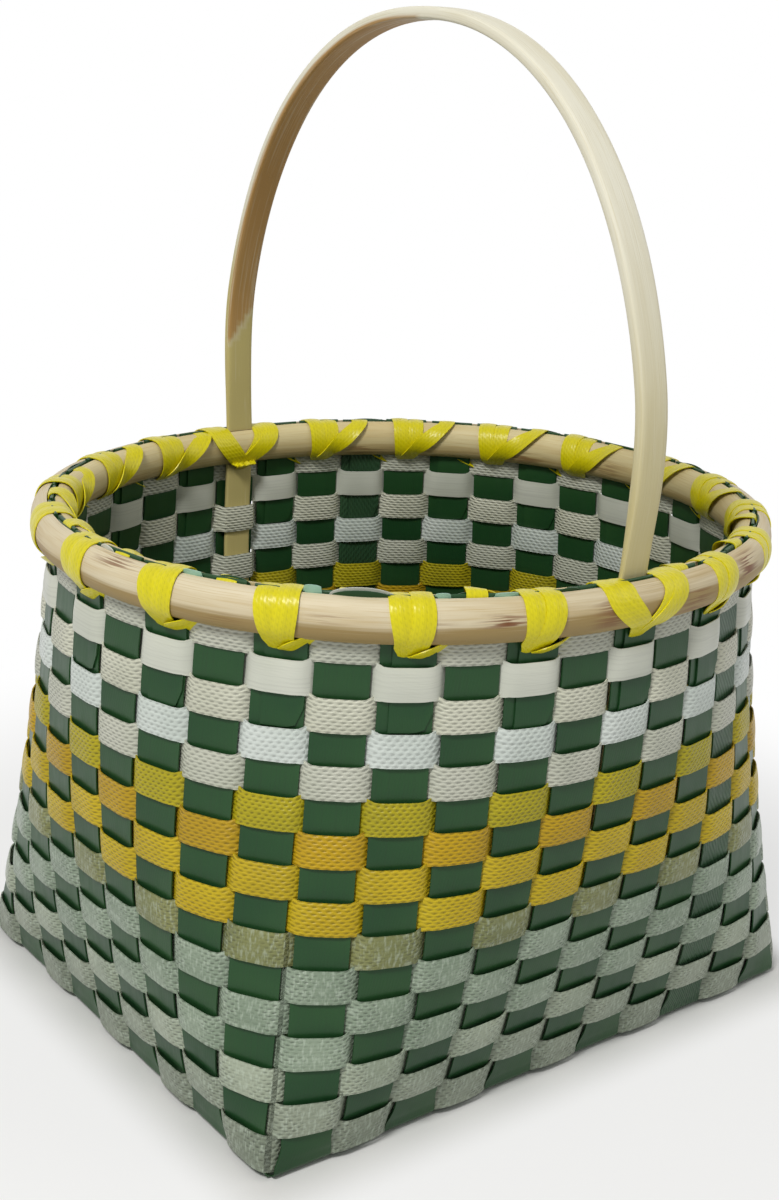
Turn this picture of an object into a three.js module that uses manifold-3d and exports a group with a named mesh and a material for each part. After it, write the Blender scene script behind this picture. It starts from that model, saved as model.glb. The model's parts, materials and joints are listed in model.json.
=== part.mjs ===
// Handmade basket of flat straps: a rectangular foot that rounds into an oval mouth.
// Twenty base straps cross in plain weave, turn up and stand as forty uprights.
// Sixteen straps are woven round them, row over row. Two half-round hoops clasp the
// upright ends, a strap is wound round both hoops, and a bent stave is the handle.
// Millimetres, +Z up, the foot on z = 0, the long faces square to Y.
import * as THREE from "three";
import Module from "manifold-3d";
import { mergeVertices } from "three/addons/utils/BufferGeometryUtils.js";

// Straps of the foot and the wall
const LONG_COUNT = 11;
const SHORT_COUNT = 9;
const STRAP_WIDTH = 24;
const STRAP_THICK = 1;
const FOOT_GAP = 5.8;
const MOUTH_GAP = 3.1;
const BEND_RADIUS = 3.2;

// Woven rows
const ROW_COUNT = 16;
const ROW_PITCH = 14.9;
const WEFT_WIDTH = 14.4;
const WEFT_THICK = 0.9;

// Plan of the wall
const FOOT_SQUARENESS = 25;
const MOUTH_SQUARENESS = 2.06;
const ROUNDING_RATE = 1.77;
const MOUTH_OVALITY = 0.6;

// Rim hoops
const HOOP_HEIGHT = 20;
const HOOP_THICK = 8;
const HOOP_SEAT = 2;
const HOOP_OVERLAP = 5.2;
const UPRIGHT_SHY = 0.6;

// Rim lashing
const LASH_WIDTH = 9;
const LASH_THICK = 0.9;
const LASH_DROP = 1.6;
const SLANT_POWER = 2;
const LASH_LIFT = 1.65;
const LASH_CREST = 1.8;
const LASH_PLAY = 0.8;
const LASH_SPACING = 2;
const HANDLE_LASH_REACH = 0.58;

// Handle
const HANDLE_WIDTH = 16;
const HANDLE_THICK = 6;
const LEG_THICK = 3.2;
const HANDLE_EASE = 0.9;
const HANDLE_REACH = 166.5;
const HANDLE_RISE = 216;
const HANDLE_SPRING = 14.5;
const HANDLE_SQUARENESS = 2.16;
const HANDLE_SWAY = 45;
const TUCK_ROWS = 8;

// Fit and facets
const CLEARANCE = 0.3;
const FOLLOW = 0.6;
const TWIST_STEP = 0.05;
const CURVE_SAMPLES = 600;
const SOLVE_STEPS = 12;
const BEND_STEPS = 2;
const HOOP_STEPS = 4;
const ARCH_STEPS = 10;
const SWAY_STEPS = 3;
const CUT_DEPTH = 6;

// Colours
const GREEN = 0x3d6b4a;
const WOOD = 0xdccba2;
const HANDLE_WOOD = 0xd3c7a5;
const YELLOW = 0xd9d024;
const ROW_COLOURS = [
  0xb9bab2, 0xf1f2ee, 0xdcd8c6, 0xe4edf5, 0xd5d9d8, 0xc2c45a, 0xd8a92c, 0xdcbf2e,
  0xd9c131, 0xa7a876, 0xa9c4b2, 0xa9c6b4, 0xaac8b4, 0xb9bdb4, 0xb7bab2, 0xb4b7b0,
];

const wasm = await Module();
wasm.setup();

const UP = new THREE.Vector3(0, 0, 1);
const DOWN = new THREE.Vector3(0, 0, -1);
const HALF = 1 / 2;
const QUARTER_TURN = Math.PI * HALF;

const columnCount = 2 * (LONG_COUNT + SHORT_COUNT);
const halfCount = columnCount * HALF;
const quarterCount = halfCount * HALF;
const nearMiddle = Math.floor((LONG_COUNT - 1) * HALF);
const farMiddle = 2 * LONG_COUNT + SHORT_COUNT - 1 - nearMiddle;

// Heights. The lower strap family lies on the floor where it passes under.
const underLevel = STRAP_THICK * HALF;
const middleLevel = underLevel + STRAP_THICK + CLEARANCE;
const overLevel = middleLevel + STRAP_THICK + CLEARANCE;
const wallFoot = overLevel + BEND_RADIUS + CLEARANCE;
const wallTop = wallFoot + ROW_COUNT * ROW_PITCH;
const hoopFoot = wallTop - HOOP_OVERLAP;
const hoopTop = hoopFoot + HOOP_HEIGHT;
const hoopMiddle = hoopFoot + HOOP_HEIGHT * HALF;
const uprightTop = hoopTop - UPRIGHT_SHY;
const legFoot = wallTop - TUCK_ROWS * ROW_PITCH;

// The wall leans out up to the top row, which stands upright behind the hoops.
const mouthRow = ROW_COUNT - 1;

const footPitch = STRAP_WIDTH + FOOT_GAP;
const mouthPitch = STRAP_WIDTH + MOUTH_GAP;

// One quarter of an oval, from the middle of the near face to the middle of the left.
function quarterCurve(halfLength, halfWidth, power) {
  const points = [];
  let travelled = 0;
  for (let i = 0; i <= CURVE_SAMPLES; i += 1) {
    const angle = (i / CURVE_SAMPLES) * QUARTER_TURN;
    const x = -halfLength * Math.sin(angle) ** (2 / power);
    const y = -halfWidth * Math.max(Math.cos(angle), 0) ** (2 / power);
    if (i > 0) {
      const last = points[i - 1];
      travelled += Math.hypot(x - last.x, y - last.y);
    }
    points.push({ x, y, travelled });
  }
  return points;
}

// The plan at a share of the wall's height. Its girth is set by the strap pitch.
const planCache = new Map();
function planAt(share) {
  if (planCache.has(share)) {
    return planCache.get(share);
  }
  const pitch = THREE.MathUtils.lerp(footPitch, mouthPitch, share);
  const footSpread = (LONG_COUNT - SHORT_COUNT) * footPitch * HALF;
  const spread = THREE.MathUtils.lerp(footSpread, MOUTH_OVALITY * mouthPitch, share);
  const rounded = 1 - (1 - share) ** ROUNDING_RATE;
  const power = 1 / THREE.MathUtils.lerp(1 / FOOT_SQUARENESS, 1 / MOUTH_SQUARENESS, rounded);
  const wanted = quarterCount * pitch;
  let radius = wanted / QUARTER_TURN;
  let curve = [];
  for (let i = 0; i < SOLVE_STEPS; i += 1) {
    curve = quarterCurve(radius + spread * HALF, radius - spread * HALF, power);
    radius *= wanted / curve[CURVE_SAMPLES].travelled;
  }
  const plan = { curve, pitch, halfLength: -curve[CURVE_SAMPLES].x, halfWidth: -curve[0].y };
  planCache.set(share, plan);
  return plan;
}

function pointOnQuarter(curve, distance) {
  let low = 0;
  let high = CURVE_SAMPLES;
  while (high - low > 1) {
    const middle = Math.floor((low + high) * HALF);
    if (curve[middle].travelled > distance) {
      high = middle;
    } else {
      low = middle;
    }
  }
  const a = curve[low];
  const b = curve[high];
  const part = (distance - a.travelled) / (b.travelled - a.travelled);
  const run = Math.hypot(b.x - a.x, b.y - a.y);
  return {
    x: a.x + (b.x - a.x) * part,
    y: a.y + (b.y - a.y) * part,
    tx: (a.x - b.x) / run,
    ty: (a.y - b.y) / run,
  };
}

// Columns are counted from the near left corner, to the right and on round.
function faceOf(column) {
  if (column < LONG_COUNT) {
    return { axis: "near", place: column - (LONG_COUNT - 1) * HALF };
  }
  if (column < halfCount) {
    return { axis: "right", place: column - LONG_COUNT - (SHORT_COUNT - 1) * HALF };
  }
  if (column < halfCount + LONG_COUNT) {
    return { axis: "far", place: halfCount - column + (LONG_COUNT - 1) * HALF };
  }
  const last = columnCount - 1 - column;
  return { axis: "left", place: last - (SHORT_COUNT - 1) * HALF };
}

function footFrame(column, plan) {
  const face = faceOf(column);
  const along = face.place * plan.pitch;
  if (face.axis === "near") {
    return { x: along, y: -plan.halfWidth, tx: 1, ty: 0 };
  }
  if (face.axis === "right") {
    return { x: plan.halfLength, y: along, tx: 0, ty: 1 };
  }
  if (face.axis === "far") {
    return { x: along, y: plan.halfWidth, tx: -1, ty: 0 };
  }
  return { x: -plan.halfLength, y: along, tx: 0, ty: -1 };
}

function ovalFrame(column, plan) {
  const length = plan.curve[CURVE_SAMPLES].travelled;
  const steps = THREE.MathUtils.euclideanModulo((LONG_COUNT - 1) * HALF - column, columnCount);
  const quarter = Math.floor(steps / quarterCount);
  const rest = steps - quarter * quarterCount;
  const odd = quarter % 2 === 1;
  const share = (odd ? quarterCount - rest : rest) / quarterCount;
  const p = pointOnQuarter(plan.curve, Math.min(share * length, length));
  if (quarter === 0) {
    return { x: p.x, y: p.y, tx: p.tx, ty: p.ty };
  }
  if (quarter === 1) {
    return { x: p.x, y: -p.y, tx: -p.tx, ty: p.ty };
  }
  if (quarter === 2) {
    return { x: -p.x, y: -p.y, tx: -p.tx, ty: -p.ty };
  }
  return { x: -p.x, y: p.y, tx: p.tx, ty: -p.ty };
}

// Each upright is straight between key heights, closer together where the wall turns.
function frameAt(column, row) {
  const plan = planAt(row / mouthRow);
  const flat = row === 0 ? footFrame(column, plan) : ovalFrame(column, plan);
  return {
    height: wallFoot + row * ROW_PITCH,
    centre: new THREE.Vector3(flat.x, flat.y, 0),
    along: new THREE.Vector3(flat.tx, flat.ty, 0),
    out: new THREE.Vector3(flat.ty, -flat.tx, 0),
  };
}

function keysOf(column) {
  const all = [];
  for (let row = 0; row <= mouthRow; row += 1) {
    all.push(frameAt(column, row));
  }
  const keys = [all[0]];
  let start = 0;
  while (start < mouthRow) {
    let end = start + 1;
    while (end < mouthRow && spans(all, start, end + 1)) {
      end += 1;
    }
    keys.push(all[end]);
    start = end;
  }
  return keys;
}

function spans(all, start, end) {
  if (all[start].along.angleTo(all[end].along) > TWIST_STEP) {
    return false;
  }
  for (let row = start + 1; row < end; row += 1) {
    const share = (row - start) / (end - start);
    const chord = all[start].centre.clone().lerp(all[end].centre, share);
    if (chord.distanceTo(all[row].centre) > FOLLOW) {
      return false;
    }
  }
  return true;
}

const columnKeys = [];
for (let column = 0; column < columnCount; column += 1) {
  columnKeys.push(keysOf(column));
}

function onKey(key, across, outward) {
  return key.centre.clone().addScaledVector(key.along, across).addScaledVector(key.out, outward);
}

// A point of the wall at a column: across the strap, out of it, and up.
function wallPoint(column, height, across, outward) {
  const keys = columnKeys[column];
  const top = keys[keys.length - 1];
  if (height >= top.height) {
    return onKey(top, across, outward).setZ(height);
  }
  let i = 0;
  while (i < keys.length - 2 && keys[i + 1].height < height) {
    i += 1;
  }
  const low = keys[i];
  const high = keys[i + 1];
  const share = (height - low.height) / (high.height - low.height);
  return onKey(low, across, outward).lerp(onKey(high, across, outward), share).setZ(height);
}

// The mouth's outline above the rows, by place counted in columns.
function mouthFrame(place) {
  const near = Math.floor(place + HALF);
  const rest = place - near;
  const here = mouthFrameOf(near, rest);
  if (Math.abs(Math.abs(rest) - HALF) > Number.EPSILON * columnCount) {
    return here;
  }
  const other = mouthFrameOf(near - 1, rest + 1);
  return {
    centre: here.centre.lerp(other.centre, HALF),
    along: here.along.add(other.along).normalize(),
    out: here.out.add(other.out).normalize(),
  };
}

function mouthFrameOf(column, rest) {
  const keys = columnKeys[THREE.MathUtils.euclideanModulo(column, columnCount)];
  const key = keys[keys.length - 1];
  return {
    centre: key.centre.clone().addScaledVector(key.along, rest * mouthPitch),
    along: key.along.clone(),
    out: key.out.clone(),
  };
}

function mouthPoint(place, outward, height) {
  const frame = mouthFrame(place);
  return frame.centre.addScaledVector(frame.out, outward).setZ(height);
}

// A closed skin over equal sections: joined in a ring, or with a cap at each end. A thin
// band that twists has alike diagonals on its two faces, so that they stay clear of each other.
function loft(sections, ring, alike = false) {
  const size = sections[0].length;
  const positions = [];
  for (const section of sections) {
    for (const point of section) {
      positions.push(point.x, point.y, point.z);
    }
  }
  const index = [];
  const spansCount = ring ? sections.length : sections.length - 1;
  for (let i = 0; i < spansCount; i += 1) {
    const a = i * size;
    const b = ((i + 1) % sections.length) * size;
    for (let j = 0; j < size; j += 1) {
      const k = (j + 1) % size;
      if (!alike || j >= size * HALF) {
        index.push(a + j, b + j, b + k);
        index.push(a + j, b + k, a + k);
      } else {
        index.push(a + j, b + j, a + k);
        index.push(a + k, b + j, b + k);
      }
    }
  }
  if (!ring) {
    const last = (sections.length - 1) * size;
    for (let j = 1; j < size - 1; j += 1) {
      index.push(0, j, j + 1);
      index.push(last, last + j + 1, last + j);
    }
  }
  if (signedVolume(positions, index) < 0) {
    for (let i = 0; i < index.length; i += 3) {
      const swap = index[i + 1];
      index[i + 1] = index[i + 2];
      index[i + 2] = swap;
    }
  }
  const geometry = new THREE.BufferGeometry();
  geometry.setAttribute("position", new THREE.Float32BufferAttribute(positions, 3));
  geometry.setIndex(index);
  return geometry;
}

function signedVolume(positions, index) {
  let volume = 0;
  const a = new THREE.Vector3();
  const b = new THREE.Vector3();
  const c = new THREE.Vector3();
  for (let i = 0; i < index.length; i += 3) {
    a.fromArray(positions, index[i] * 3);
    b.fromArray(positions, index[i + 1] * 3);
    c.fromArray(positions, index[i + 2] * 3);
    volume += a.dot(b.cross(c));
  }
  return volume;
}

function toSolid(geometry) {
  const bare = geometry.clone();
  bare.deleteAttribute("normal");
  bare.deleteAttribute("uv");
  const merged = mergeVertices(bare);
  return new wasm.Manifold(new wasm.Mesh({
    numProp: 3,
    vertProperties: Float32Array.from(merged.attributes.position.array),
    triVerts: Uint32Array.from(merged.index.array),
  }));
}

function fromSolid(solid) {
  const mesh = solid.getMesh();
  const geometry = new THREE.BufferGeometry();
  geometry.setAttribute("position", new THREE.BufferAttribute(mesh.vertProperties, mesh.numProp));
  geometry.setIndex(new THREE.BufferAttribute(mesh.triVerts, 1));
  return geometry;
}

function cut(geometry, tools) {
  let solid = toSolid(geometry);
  for (const tool of tools) {
    solid = solid.subtract(toSolid(tool));
  }
  return fromSolid(solid);
}

// A block square to the mouth's outline: its width along it, its depth through it.
function mouthBlock(place, width, depth, height, outward, middleHeight) {
  const frame = mouthFrame(place);
  const geometry = new THREE.BoxGeometry(width, depth, height);
  const turn = new THREE.Matrix4().makeBasis(frame.along, frame.out.clone().negate(), UP);
  turn.setPosition(frame.centre.addScaledVector(frame.out, outward).setZ(middleHeight));
  return geometry.applyMatrix4(turn);
}

// Where the lashing passes through the wall: every second column, and both sides of
// each handle leg instead of through it.
const lashPlaces = [];
for (const leg of [nearMiddle, farMiddle]) {
  lashPlaces.push(leg - HANDLE_LASH_REACH, leg + HANDLE_LASH_REACH);
  const turns = Math.round(halfCount / LASH_SPACING);
  for (let i = 1; i < turns; i += 1) {
    lashPlaces.push(leg + (i * halfCount) / turns);
  }
}
const slotHeight = hoopFoot - LASH_DROP;

function slotAt(place) {
  const width = LASH_WIDTH + 2 * LASH_PLAY;
  const foot = slotHeight - LASH_THICK * HALF - CLEARANCE;
  return mouthBlock(place, width, CUT_DEPTH, hoopFoot - foot, 0, (hoopFoot + foot) * HALF);
}

function slotsFor(column) {
  const near = lashPlaces.filter((place) => {
    const apart = THREE.MathUtils.euclideanModulo(place - column + halfCount, columnCount) - halfCount;
    return Math.abs(apart) < 1;
  });
  return near.map(slotAt);
}

// One strap from mouth to mouth: down one wall, across the foot and up the other.
function uprightSections(column, upward) {
  const heights = columnKeys[column].map((key) => key.height);
  heights.push(uprightTop);
  const w = STRAP_WIDTH * HALF;
  const t = STRAP_THICK * HALF;
  const sections = heights.map((height) => {
    const left = wallPoint(column, height, -w, t);
    const right = wallPoint(column, height, w, t);
    const rightIn = wallPoint(column, height, w, -t);
    const leftIn = wallPoint(column, height, -w, -t);
    return upward ? [right, left, leftIn, rightIn] : [left, right, rightIn, leftIn];
  });
  return upward ? sections : sections.reverse();
}

function footSection(point, side, outward) {
  const w = STRAP_WIDTH * HALF;
  const t = STRAP_THICK * HALF;
  const corner = (a, b) => point.clone().addScaledVector(side, a).addScaledVector(outward, b);
  return [corner(-w, t), corner(w, t), corner(w, -t), corner(-w, -t)];
}

function bendSections(column, side, level, upward) {
  const key = columnKeys[column][0];
  const sections = [];
  for (let i = 0; i <= BEND_STEPS; i += 1) {
    const angle = (i / BEND_STEPS) * QUARTER_TURN;
    const inset = BEND_RADIUS * (1 - Math.cos(angle));
    const point = onKey(key, 0, -inset).setZ(level + BEND_RADIUS * (1 - Math.sin(angle)));
    const outward = key.out.clone().multiplyScalar(Math.cos(angle));
    outward.addScaledVector(DOWN, Math.sin(angle));
    sections.push(footSection(point, side, outward));
  }
  return upward ? sections.reverse() : sections;
}

function makeStrap(first, last, levels, crossings) {
  const side = columnKeys[first][0].along.clone();
  const sections = uprightSections(first, false);
  sections.push(...bendSections(first, side, levels[0], false));
  crossings.forEach((crossing, i) => {
    const reach = STRAP_WIDTH * HALF + CLEARANCE;
    for (const step of [-reach, reach]) {
      const point = crossing.at.clone().addScaledVector(crossing.run, step).setZ(levels[i]);
      sections.push(footSection(point, side, DOWN));
    }
  });
  sections.push(...bendSections(last, side, levels[levels.length - 1], true));
  sections.push(...uprightSections(last, true));
  return cut(loft(sections, false), [...slotsFor(first), ...slotsFor(last)]);
}

const basket = new THREE.Group();

function addPiece(name, geometry, colour, roughness) {
  const material = new THREE.MeshStandardMaterial({ color: colour, roughness, metalness: 0 });
  const mesh = new THREE.Mesh(geometry, material);
  mesh.name = name;
  basket.add(mesh);
}

const STRAP_ROUGH = 0.42;
const WEFT_ROUGH = 0.38;
const WOOD_ROUGH = 0.7;
const LASH_ROUGH = 0.35;

// Straps that run from the near face to the far face lie flat between the others.
for (let i = 0; i < LONG_COUNT; i += 1) {
  const geometry = makeStrap(i, 2 * LONG_COUNT + SHORT_COUNT - 1 - i, [middleLevel], []);
  addPiece(`strap_long_${i + 1}`, geometry, GREEN, STRAP_ROUGH);
}

// Straps that run from the left face to the right pass over and under them in turn.
for (let j = 0; j < SHORT_COUNT; j += 1) {
  const levels = [];
  const crossings = [];
  const y = columnKeys[LONG_COUNT + j][0].centre.y;
  for (let i = 0; i < LONG_COUNT; i += 1) {
    const x = columnKeys[i][0].centre.x;
    levels.push((i + j) % 2 === 1 ? overLevel : underLevel);
    crossings.push({ at: new THREE.Vector3(x, y, 0), run: new THREE.Vector3(1, 0, 0) });
  }
  const geometry = makeStrap(columnCount - 1 - j, LONG_COUNT + j, levels, crossings);
  addPiece(`strap_short_${j + 1}`, geometry, GREEN, STRAP_ROUGH);
}

// Leg of the handle: against the inner face of its upright, inside the top row.
const weaveOffset = STRAP_THICK * HALF + CLEARANCE + WEFT_THICK * HALF;
const legOuter = -(weaveOffset + WEFT_THICK * HALF + CLEARANCE);
const legInner = legOuter - LEG_THICK;
const legOffset = (legOuter + legInner) * HALF;

// Woven rows. Row 1 is the top one. A row that passes inside a handle leg bows over it.
function weftStops(column, row, foot) {
  const outside = (row + column) % 2 === 1;
  const reach = STRAP_WIDTH * HALF + CLEARANCE;
  const offset = outside ? weaveOffset : -weaveOffset;
  const isLeg = column === nearMiddle || column === farMiddle;
  const overLeg = isLeg && !outside && row > 1 && foot + WEFT_WIDTH > legFoot;
  const stops = [{ across: -reach, offset }, { across: reach, offset }];
  if (overLeg) {
    const legReach = HANDLE_WIDTH * HALF + CLEARANCE;
    const bowed = legInner - CLEARANCE - WEFT_THICK * HALF;
    stops.splice(1, 0, { across: -legReach, offset: bowed }, { across: legReach, offset: bowed });
  }
  return stops;
}

for (let row = 1; row <= ROW_COUNT; row += 1) {
  const foot = wallTop - row * ROW_PITCH + (ROW_PITCH - WEFT_WIDTH) * HALF;
  const top = foot + WEFT_WIDTH;
  const t = WEFT_THICK * HALF;
  const sections = [];
  for (let column = 0; column < columnCount; column += 1) {
    for (const stop of weftStops(column, row, foot)) {
      sections.push([
        wallPoint(column, foot, stop.across, stop.offset + t),
        wallPoint(column, top, stop.across, stop.offset + t),
        wallPoint(column, top, stop.across, stop.offset - t),
        wallPoint(column, foot, stop.across, stop.offset - t),
      ]);
    }
  }
  const colour = ROW_COLOURS[(row - 1) % ROW_COLOURS.length];
  const band = loft(sections, true);
  const slots = slotHeight > foot ? lashPlaces.map(slotAt) : [];
  addPiece(`weft_row_${row}`, slots.length > 0 ? cut(band, slots) : band, colour, WEFT_ROUGH);
}

// Half-round hoops with their flat faces to the wall, a facet to each upright.
function hoopSections(sign) {
  const sections = [];
  for (let column = 0; column < columnCount; column += 1) {
    const section = [];
    for (let i = 0; i <= HOOP_STEPS; i += 1) {
      const angle = (i / HOOP_STEPS) * Math.PI - QUARTER_TURN;
      const outward = sign * (HOOP_SEAT + HOOP_THICK * Math.cos(angle));
      const height = hoopMiddle + HOOP_HEIGHT * HALF * Math.sin(angle);
      section.push(mouthPoint(column + HALF, outward, height));
    }
    sections.push(section);
  }
  return sections;
}

addPiece("outer_hoop", loft(hoopSections(1), true), WOOD, WOOD_ROUGH);

// The inner hoop is notched where the handle legs pass behind it.
const notchTools = [nearMiddle, farMiddle].map((leg) => {
  const width = HANDLE_WIDTH + 2 * CLEARANCE;
  const depth = -legInner + CLEARANCE;
  return mouthBlock(leg, width, depth, HOOP_HEIGHT * 2, -depth * HALF, hoopMiddle);
});
addPiece("inner_hoop", cut(loft(hoopSections(-1), true), notchTools), WOOD, WOOD_ROUGH);

// Handle: a flat stave that thins into its legs, with eased edges.
function handleSection(centre, outward, thickness) {
  const w = HANDLE_WIDTH * HALF;
  const t = thickness * HALF;
  const e = HANDLE_EASE;
  const outline = [
    [-w + e, t], [w - e, t], [w, t - e], [w, -t + e],
    [w - e, -t], [-w + e, -t], [-w, -t + e], [-w, t - e],
  ];
  const side = new THREE.Vector3(1, 0, 0);
  return outline.map(([a, b]) => centre.clone().addScaledVector(side, a).addScaledVector(outward, b));
}

const handleX = columnKeys[nearMiddle][0].centre.x;
const mouthReach = -mouthPoint(nearMiddle, 0, 0).y + legOffset;
const springHeight = hoopTop + HANDLE_SPRING;

function archReach(height) {
  const share = Math.max(height - springHeight, 0) / HANDLE_RISE;
  return HANDLE_REACH * (1 - share ** HANDLE_SQUARENESS) ** (1 / HANDLE_SQUARENESS);
}

// Half of the handle's middle line, from the tip of a leg to the crown.
const halfPath = [];
halfPath.push({ reach: -wallPoint(nearMiddle, legFoot, 0, legOffset).y, height: legFoot, swell: 0 });
for (const key of columnKeys[nearMiddle]) {
  if (key.height > legFoot) {
    const at = wallPoint(nearMiddle, key.height, 0, legOffset);
    halfPath.push({ reach: -at.y, height: key.height, swell: 0 });
  }
}
halfPath.push({ reach: mouthReach, height: hoopTop, swell: 0 });
for (let i = 1; i <= SWAY_STEPS; i += 1) {
  const height = hoopTop + (HANDLE_SWAY * i) / SWAY_STEPS;
  const swell = THREE.MathUtils.smoothstep(i / SWAY_STEPS, 0, 1);
  halfPath.push({ reach: THREE.MathUtils.lerp(mouthReach, archReach(height), swell), height, swell });
}
const startShare = (hoopTop + HANDLE_SWAY - springHeight) / HANDLE_RISE;
const startAngle = Math.asin(startShare ** (HANDLE_SQUARENESS * HALF));
for (let i = 1; i <= ARCH_STEPS; i += 1) {
  const angle = THREE.MathUtils.lerp(startAngle, QUARTER_TURN, i / ARCH_STEPS);
  const height = springHeight + HANDLE_RISE * Math.sin(angle) ** (2 / HANDLE_SQUARENESS);
  const across = Math.max(Math.cos(angle), 0) ** (2 / HANDLE_SQUARENESS);
  const reach = i === ARCH_STEPS ? 0 : HANDLE_REACH * across;
  halfPath.push({ reach, height, swell: 1 });
}

const handlePath = [
  ...halfPath.map((p) => ({ y: -p.reach, z: p.height, swell: p.swell })),
  ...halfPath.slice(0, -1).reverse().map((p) => ({ y: p.reach, z: p.height, swell: p.swell })),
];
const handleSections = handlePath.map((p, i) => {
  const before = handlePath[Math.max(i - 1, 0)];
  const after = handlePath[Math.min(i + 1, handlePath.length - 1)];
  const outward = new THREE.Vector3(0, -(after.z - before.z), after.y - before.y).normalize();
  const isLeg = p.z <= hoopTop;
  if (isLeg) {
    outward.set(0, Math.sign(p.y), 0);
  }
  const thickness = THREE.MathUtils.lerp(LEG_THICK, HANDLE_THICK, p.swell);
  return handleSection(new THREE.Vector3(handleX, p.y, p.z), outward, thickness);
});
addPiece("handle", loft(handleSections, false), HANDLE_WOOD, WOOD_ROUGH);

// Rim lashing: one strap wound round both hoops. Each turn goes out through the wall
// under the hoops, up the outside, over the top and slants down the inside to the next.
const lashStops = [];
lashPlaces.forEach((place, turn) => {
  const next = turn + 1 < lashPlaces.length ? lashPlaces[turn + 1] : lashPlaces[0] + columnCount;
  const outThick = HOOP_THICK + LASH_LIFT;
  const outHalf = HOOP_HEIGHT * HALF + LASH_LIFT;
  const stop = (share, outward, height, nx, nz) => {
    const at = THREE.MathUtils.lerp(place, next, share);
    lashStops.push({ place: at, outward, height, nx, nz, square: share === 0 });
  };
  stop(0, 0, slotHeight, 0, -1);
  for (let i = 1; i < HOOP_STEPS; i += 1) {
    const angle = (i / HOOP_STEPS) * Math.PI - QUARTER_TURN;
    const outward = HOOP_SEAT + outThick * Math.cos(angle);
    const height = hoopMiddle + outHalf * Math.sin(angle);
    stop(0, outward, height, Math.cos(angle), Math.sin(angle));
  }
  stop(0, 0, hoopTop + LASH_CREST, 0, 1);
  for (let i = 1; i < HOOP_STEPS; i += 1) {
    const angle = QUARTER_TURN - (i / HOOP_STEPS) * Math.PI;
    const share = (i / (HOOP_STEPS - 1)) ** SLANT_POWER;
    const outward = -HOOP_SEAT - outThick * Math.cos(angle);
    const height = hoopMiddle + outHalf * Math.sin(angle);
    stop(share, outward, height, -Math.cos(angle), Math.sin(angle));
  }
});

const lashPoints = lashStops.map((s) => mouthPoint(s.place, s.outward, s.height));
const lashSections = lashStops.map((stop, i) => {
  const count = lashStops.length;
  const here = lashPoints[i];
  const before = lashPoints[(i + count - 1) % count];
  const after = lashPoints[(i + 1) % count];
  const frame = mouthFrame(stop.place);
  const face = frame.out.clone().multiplyScalar(stop.nx).addScaledVector(UP, stop.nz);
  const arriving = here.clone().sub(before).projectOnPlane(face).normalize();
  const leaving = after.clone().sub(here).projectOnPlane(face).normalize();
  const along = arriving.clone().add(leaving).normalize();
  const slanted = new THREE.Vector3().crossVectors(face, along);
  const side = stop.square ? frame.along.clone().negate() : slanted;
  const mitre = stop.square ? 1 : Math.max(along.dot(leaving), HALF);
  const w = (LASH_WIDTH * HALF) / mitre;
  const t = LASH_THICK * HALF;
  const corner = (a, b) => here.clone().addScaledVector(side, a).addScaledVector(face, b);
  return [corner(-w, t), corner(w, t), corner(w, -t), corner(-w, -t)];
});
addPiece("rim_lashing", loft(lashSections, true, true), YELLOW, LASH_ROUGH);

// Least distance between the lashing's turns, measured between their corner points.
const turnStops = lashStops.length / lashPlaces.length;
let leastGap = Infinity;
for (let i = 0; i < lashSections.length; i += 1) {
  for (let j = i + turnStops; j < lashSections.length - turnStops + 1; j += 1) {
    for (const a of lashSections[i]) {
      for (const b of lashSections[j]) {
        leastGap = Math.min(leastGap, a.distanceTo(b));
      }
    }
  }
}
console.log(`least gap between lashing turns: ${leastGap.toFixed(2)} mm`);

export default basket;
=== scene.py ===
# %% [markdown]
# # A handmade basket, strap by strap
# The real basket is woven from flat packing straps, bound to two wooden hoops with
# a bright yellow strap, and carried by one bent wooden stave. This lesson dresses
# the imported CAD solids. Each strap, hoop and stave is modelled again with the
# softness of the real one, on the same plan, and stands for the solid it replaces.
# We start with the fixed frame, so that everything that follows shares its metres.

# %% Load the frame
import json
import math
import bmesh
import bpy
import numpy as np
from mathutils import Matrix

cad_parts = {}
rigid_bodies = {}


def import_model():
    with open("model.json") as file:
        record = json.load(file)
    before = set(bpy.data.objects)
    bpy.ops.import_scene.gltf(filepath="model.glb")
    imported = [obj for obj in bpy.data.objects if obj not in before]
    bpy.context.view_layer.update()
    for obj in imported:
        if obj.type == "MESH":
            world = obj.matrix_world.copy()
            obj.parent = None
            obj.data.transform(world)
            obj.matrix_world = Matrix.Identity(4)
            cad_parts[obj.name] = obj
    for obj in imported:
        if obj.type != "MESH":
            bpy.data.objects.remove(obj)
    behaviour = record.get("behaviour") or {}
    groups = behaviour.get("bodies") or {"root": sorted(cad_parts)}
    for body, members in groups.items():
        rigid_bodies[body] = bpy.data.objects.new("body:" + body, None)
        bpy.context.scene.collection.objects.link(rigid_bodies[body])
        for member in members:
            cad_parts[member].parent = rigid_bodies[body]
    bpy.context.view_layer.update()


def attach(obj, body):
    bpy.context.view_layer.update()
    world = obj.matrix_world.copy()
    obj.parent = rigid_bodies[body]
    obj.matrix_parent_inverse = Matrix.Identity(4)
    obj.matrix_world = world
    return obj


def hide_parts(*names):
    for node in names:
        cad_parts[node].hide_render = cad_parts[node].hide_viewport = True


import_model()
scene = bpy.context.scene

# %% [markdown]
# ## The camera
# A camera could be nudged until the picture looks right. This one was solved
# instead: a few hundred strap crossings were matched to the same places on the wall,
# and that gave where it stands, how it leans and how long its lens is. Its
# matrix is written from three directions, which is clearer than angles.

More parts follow.
